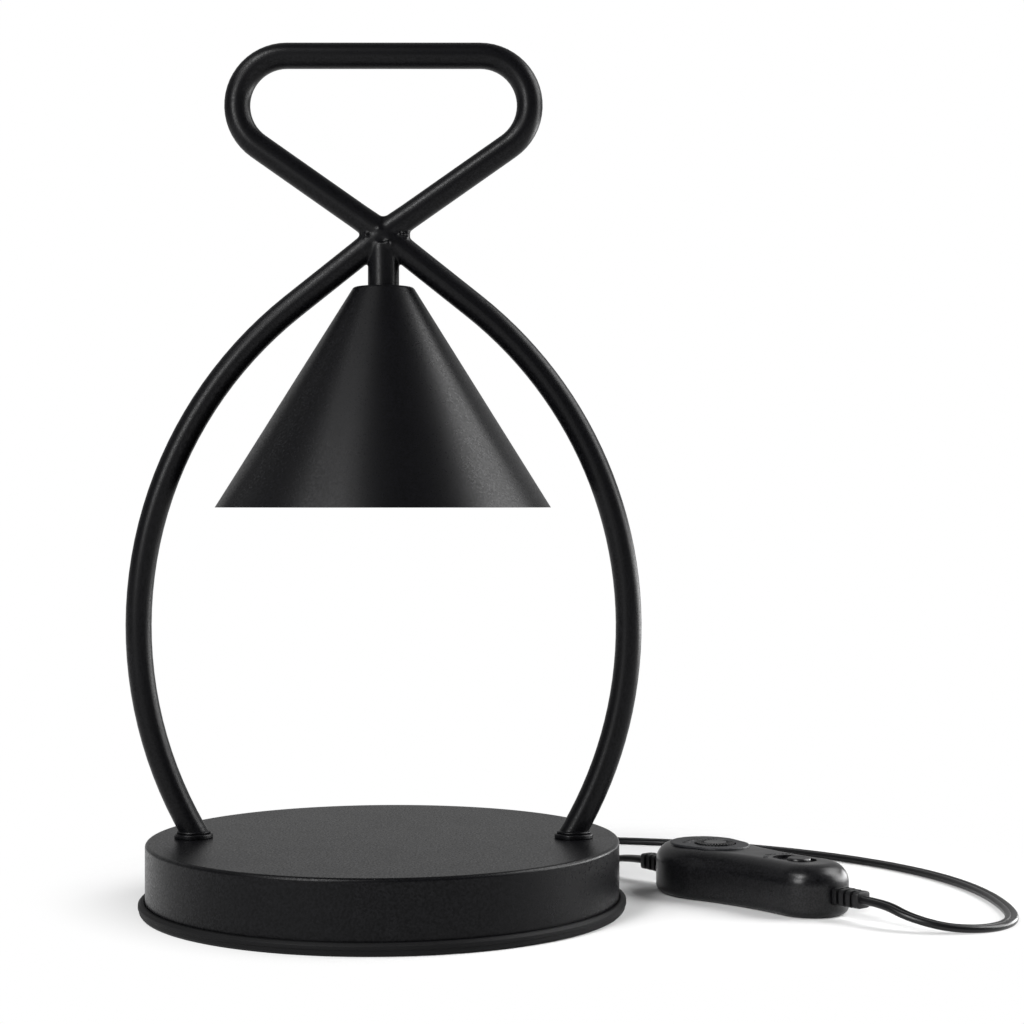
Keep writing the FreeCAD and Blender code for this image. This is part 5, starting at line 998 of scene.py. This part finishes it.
glass = clear_glass("pressed_glass", "#f4f7f5")
quartz = clear_glass("quartz_glass", "#fafbfb")
neck, rim = 212.3, 188.8
outside = bowed((10.5, neck), (25, rim), 30)
inside = bowed((23.95, rim), (9.45, neck), 28.95)
shell = spun("reflector_glass", [
    (10.5, 216.9), *outside, (25, 186.2), (23.95, 186.2), *inside, (9.45, 216.9), (10.5, 216.9),
], steps=96)
finish_piece(shell, glass, "mirror_glass", "bulb_reflector", body="bulb")

# The mirror's ribs: forty flat facets round, in steps down the bowl.
facets = 40
lining = bowed((23.85, rim), (9.35, neck), 28.85, 6)
lining_back = bowed((9.15, neck), (23.6, rim), 28.6, 6)
mirror = spun("reflector_mirror", [
    (9.35, 216.8), (9.15, 216.8), *lining_back, (23.6, 186.3), (23.85, 186.3), *lining,
    (9.35, 216.8),
], steps=facets)
bpy.ops.object.shade_flat()
# each facet gets a fixed painted reflection tone, so the facets show whatever surrounds them
painted_reflections = mirror.data.attributes.new("painted_facet_reflection", "FLOAT", "FACE")
painted_reflections.data.foreach_set("value", [31 * n % 47 / 46 for n in range(len(mirror.data.polygons))])
finish_piece(mirror, mirror_coat(), "mirror_glass", body="bulb")
dress(glass, "bulb_front_glass")
dress(quartz, "bulb_capsule")
dress(ceramic, "bulb_base")

pin = spun("headed_pins", rounded([
    (0, 228.9, 0), (1.5, 228.9, 0), (1.5, 231.7, 0.1), (2.5, 231.7, 0.3), (2.5, 234, 0.5),
    (1.5, 234, 0.2), (1.3, 233.5, 0.1), (0, 233.5, 0),
]), steps=32)
pins = set_out(pin, [(-5, 0, 0, 0), (5, 0, 0, 0)])
finish_piece(pins, nickel, "brass_nickel", "bulb_pins", body="bulb")


def tungsten():
    """Drawn tungsten wire: dull grey metal, darker between its turns."""
    return grained("drawn_tungsten", "#4a4a4c", "#77777a", (3000.0, 2.0),
                   {"Metallic": 1.0, "Roughness": 0.45})


filament_z, turns, pitch = 203.4, 15, 0.28
deselect()
bpy.ops.mesh.primitive_circle_add(vertices=8, radius=0.09 * mm, fill_type="NOTHING",
                                  location=(0, 0, 0), rotation=(math.pi / 2, 0, 0))
filament = bpy.context.object
filament.name = filament.data.name = "coiled_filament"
bpy.ops.object.transform_apply(location=True, rotation=True, scale=True)
bpy.ops.object.mode_set(mode="EDIT")
bpy.ops.transform.translate(value=(-turns * pitch / 2 * mm, 0, 0.38 * mm))
bpy.ops.object.mode_set(mode="OBJECT")
winding = filament.modifiers.new("winding", "SCREW")
winding.axis = "X"
winding.angle = 2 * math.pi
winding.screw_offset = pitch * mm
winding.iterations = turns
winding.steps = winding.render_steps = 14
bpy.ops.object.modifier_apply(modifier="winding")
bpy.ops.object.mode_set(mode="EDIT")
bpy.ops.mesh.select_all(action="SELECT")
bpy.ops.mesh.fill_holes(sides=8)
bpy.ops.transform.translate(value=(0, 0, filament_z * mm))
close_up(60)
wire = spun("wire", rounded([(0, 202.95, 0), (0.25, 202.95, 0.15), (0.25, 209.4, 0),
                             (0, 209.4, 0)]), steps=12)
wires = set_out(wire, [(-2.2, 0, 0, 0), (2.2, 0, 0, 0)])
joined([filament, wires])
finish_piece(filament, tungsten(), "tungsten", "bulb_filament", body="bulb")


# ---- lead ------------------------------------------------------------------------------
# Two heat-proof wires in one braided glass-fibre sleeve, drawn through the left leg from
# the terminal block to the holder.

def braided_sleeve():
    """Varnished glass-fibre braid: cream threads that cross, drawn coarse, 7 mm apart."""
    material, shader = new_material("glass_fibre_braid")
    shader.inputs["Roughness"].default_value = 0.62
    place = add_node(material, "ShaderNodeTexCoord")
    threads = []
    for turn in (0.7, -0.7):
        turned = add_node(material, "ShaderNodeMapping",
                          {"Vector": place.outputs["Object"], "Rotation": (turn, turn, turn)})
        threads.append(add_node(material, "ShaderNodeTexWave",
                                {"Vector": turned.outputs["Vector"], "Scale": 42.0}))
    height = add_node(material, "ShaderNodeMath", {
        0: threads[0].outputs["Fac"], 1: threads[1].outputs["Fac"]}, operation="MAXIMUM")
    tone_and_relief(material, shader, height.outputs["Value"], "#a79c84", "#d9d0ba",
                    height.outputs["Value"], 0.5, 0.2)
    return material


dress(braided_sleeve(), "lamp_lead")


# ---- dimmer case -----------------------------------------------------------------------
# Two moulded ABS shells held together by four screws from below. The top carries a raised,
# slightly coarser face plate round the dial, and a long recess for the button.

def moulded_abs(name, dark, light, satin, strength):
    """Moulded ABS from a spark-eroded mould, matt black with a fine even grain."""
    material, shader = new_material(name)
    place = add_node(material, "ShaderNodeTexCoord")
    eroded = add_node(material, "ShaderNodeTexNoise",   # 0.2 mm grain, drawn at 0.7 mm to show
                      {"Vector": place.outputs["Object"], "Scale": 1400.0, "Detail": 2.0})
    wear = add_node(material, "ShaderNodeTexNoise",
                    {"Vector": place.outputs["Object"], "Scale": 70.0, "Detail": 4.0})
    grains = add_node(material, "ShaderNodeMapRange", {
        "Value": eroded.outputs["Fac"], "From Min": 0.36, "From Max": 0.64})
    tone = tone_and_relief(material, shader, grains.outputs["Result"], dark, light,
                           eroded.outputs["Fac"], strength, 0.05)
    gloss = add_node(material, "ShaderNodeMapRange", {
        "Value": wear.outputs["Fac"], "From Min": 0.3, "From Max": 0.7,
        "To Min": satin - 0.04, "To Max": satin + 0.04})
    link(material, gloss.outputs["Result"], shader.inputs["Roughness"])
    return material, shader, tone, gloss


case_abs, case_shader, case_tone, case_gloss = moulded_abs(
    "moulded_abs_case", "#030304", "#19191b", 0.3, 0.3)
case_shader.inputs["Specular IOR Level"].default_value = 0.28
face_plate_start = 21.05
spot = add_node(case_abs, "ShaderNodeTexCoord")
height = add_node(case_abs, "ShaderNodeSeparateXYZ", {"Vector": spot.outputs["Object"]})
on_plate = add_node(case_abs, "ShaderNodeMath", {
    0: height.outputs["Z"], 1: face_plate_start * mm}, operation="GREATER_THAN")
coarse = add_node(case_abs, "ShaderNodeTexVoronoi",  # 0.5 mm grains, drawn at 0.9 mm to show
                  {"Vector": spot.outputs["Object"], "Scale": 1100.0})
plate_grain = add_node(case_abs, "ShaderNodeMix", {
    0: coarse.outputs["Distance"], 6: hex_colour("#2c2d30"), 7: hex_colour("#101012"),
}, data_type="RGBA")
plate_tone = add_node(case_abs, "ShaderNodeMix", {
    0: on_plate.outputs["Value"], 6: case_tone.outputs[2], 7: plate_grain.outputs[2],
}, data_type="RGBA")
link(case_abs, plate_tone.outputs[2], case_shader.inputs["Base Color"])
plate_gloss = add_node(case_abs, "ShaderNodeMapRange", {
    "Value": on_plate.outputs["Value"], "To Min": 0.0, "To Max": 0.2})
case_rough = add_node(case_abs, "ShaderNodeMath", {
    0: case_gloss.outputs["Result"], 1: plate_gloss.outputs["Result"]}, operation="ADD")
link(case_abs, case_rough.outputs["Value"], case_shader.inputs["Roughness"])
dress(case_abs, "dimmer_case_top", "dimmer_case_bottom")


def lay_on_dimmer(made, x, y, z):
    """Lays a piece in its place on the dimmer, with the dimmer's turn."""
    return lay_piece(made, (*on_table(x, y), z), dimmer_turn)


screw_spots = [(*on_table(x, y), 2.6) for x in (-8.2, 8.2) for y in (34, -38)]
case_screws = cross_screw("case_screws", 2.3, 1.8, 1.2, 11.4, screw_spots, -1)
finish_piece(case_screws, zinc, "zinc_steel", "dimmer_screws")


# ---- dimmer lettering ------------------------------------------------------------------
# The times round the dial and the shares of the light at the button, cut into the mould so
# that they stand a little proud of the case, in the case's own black.

dial_middle, button_middle = 20.2, -28.2
face_top, roof = 21.8, 21.0
words = []
for middle, top, settings in (
    (dial_middle, face_top, [("ON", 13.2, -35.3, 1), ("1H", 13.2, -11.7, 1),
                             ("2H", 13.2, 10.8, 1), ("4H", 13.2, 38.6, 1)]),
    (button_middle, roof, [("50%", 14.3, -24.6, 1.65), ("75%", 15.8, 0, 0),
                           ("100%", 14.4, 24.3, 1.65)]),
):
    for text, out, way, turned in settings:
        deselect()
        bpy.ops.object.text_add(location=(0, 0, 0))
        word = bpy.context.object
        word.data.body = text
        word.data.size = 3.0 * mm
        word.data.extrude = 0.25 * mm
        word.data.align_x, word.data.align_y = "CENTER", "CENTER"
        word.data.resolution_u = 4
        bpy.ops.object.convert(target="MESH")
        word = bpy.context.object
        bpy.ops.object.mode_set(mode="EDIT")
        close_up(30)
        lay_piece(word, (0, 0, 0), -way * turned)
        lay_on_dimmer(word, out * math.sin(math.radians(way)),
                      middle + out * math.cos(math.radians(way)), top - 0.13)
        words.append(word)
lettering = joined(words)
lettering.name = lettering.data.name = "dimmer_lettering"
letter_abs, *_ = moulded_abs("moulded_abs_letters", "#242426", "#303032", 0.4, 0.2)
finish_piece(lettering, letter_abs, "dimmer_plastic")


# ---- dimmer dial and button ------------------------------------------------------------
# Both are moulded in a slightly softer black. The dial is fluted all round and clicks onto
# the rotary switch. The button has a dished top and a flange that keeps it in the case.

knob_abs, *_ = moulded_abs("moulded_abs_knobs", "#08080a", "#161618", 0.38, 0.3)
dress(knob_abs, "timer_dial")
button_place = (*on_table(0, button_middle), 0)
button = spun("round_button", rounded([
    (0, 9.7, 0), (1.5, 9.7, 0.3), (1.5, 14.7, 0), (5.9, 14.7, 0.2), (5.9, 15.7, 0.2),
    (4.8, 15.7, 0), (4.8, 22, 0.8), (3.4, 21.75, 1.0), (0, 21.66, 0),
]), steps=72)
lay_piece(button, button_place)
finish_piece(button, knob_abs, "dimmer_plastic", "dimmer_button", body="dimmer_button")


# ---- inside the dimmer -----------------------------------------------------------------
# A phase-control board on pegs: a rotary switch, a push switch, a yellow film capacitor, a
# triac, a fuse, and light-emitting diodes that shine up through smoked light pipes.

def circuit_board():
    """Glass epoxy under green lacquer, with the glass weave just showing, drawn coarse,
    5 mm a thread."""
    material, shader = new_material("glass_epoxy_board")
    shader.inputs["Roughness"].default_value = 0.32
    place = add_node(material, "ShaderNodeTexCoord")
    threads = [add_node(material, "ShaderNodeTexWave", {
        "Vector": place.outputs["Object"], "Scale": 63.0}, bands_direction=way)
        for way in ("X", "Y")]
    weave = add_node(material, "ShaderNodeMath", {
        0: threads[0].outputs["Fac"], 1: threads[1].outputs["Fac"]}, operation="MULTIPLY")
    tone_and_relief(material, shader, weave.outputs["Value"], "#0e3a21", "#175230")
    return material


def moulded_box(name, dark, light, rough, grit):
    """The moulded or dipped skin of a small electrical part, with its grain per metre."""
    return grained(name, dark, light, (grit, 3.0), {"Roughness": rough}, skin=(0.2, 0.06))


def smoked_pipe():
    """Smoked polycarbonate, polished: nearly black until the light under it is on."""
    return grained("smoked_polycarbonate", "#1a1b1e", "#2b2d31", (600.0, 2.0),
                   {"Roughness": 0.12, "IOR": 1.58})


dress(circuit_board(), "dimmer_board")
dress(moulded_box("moulded_grey_nylon", "#4c4f52", "#62666a", 0.5, 900.0),
      "rotary_switch", "button_switch")
dress(moulded_box("dipped_epoxy_yellow", "#c99a1c", "#dcb23a", 0.35, 500.0), "film_capacitor")
dress(moulded_box("moulded_epoxy_black", "#151516", "#222224", 0.55, 1500.0), "triac")
dress(moulded_box("fuse_ceramic", "#cfccc2", "#e2e0d8", 0.4, 800.0), "fuse")
dress(moulded_box("diode_resin", "#d8d6c4", "#e9e7d8", 0.25, 900.0), "indicator_leds")
dress(smoked_pipe(), "light_pipes")


# ---- dimmer strain reliefs and its cord ------------------------------------------------
# One soft PVC relief at each end of the case, held by a flange inside the shells, with
# bending slots. The lamp's own cord ends in one, and the plug's cord in the other.

for hand, side in (("lamp", 1), ("plug", -1)):
    relief = slotted_relief(f"case_relief_{hand}", relief_length, (4.5, 3.5), (3.7, 3.3), 0,
                            (2.2, 5.6, 9.0), neck=3.2, flange=1.5)
    lay_piece(relief, (0, 0, 0), side * 90)
    lay_on_dimmer(relief, 0, side * case_end, cord_in_dimmer)
    finish_piece(relief, plug_pvc, "cord_pvc", f"relief_{hand}_side")

bpy.context.view_layer.update()
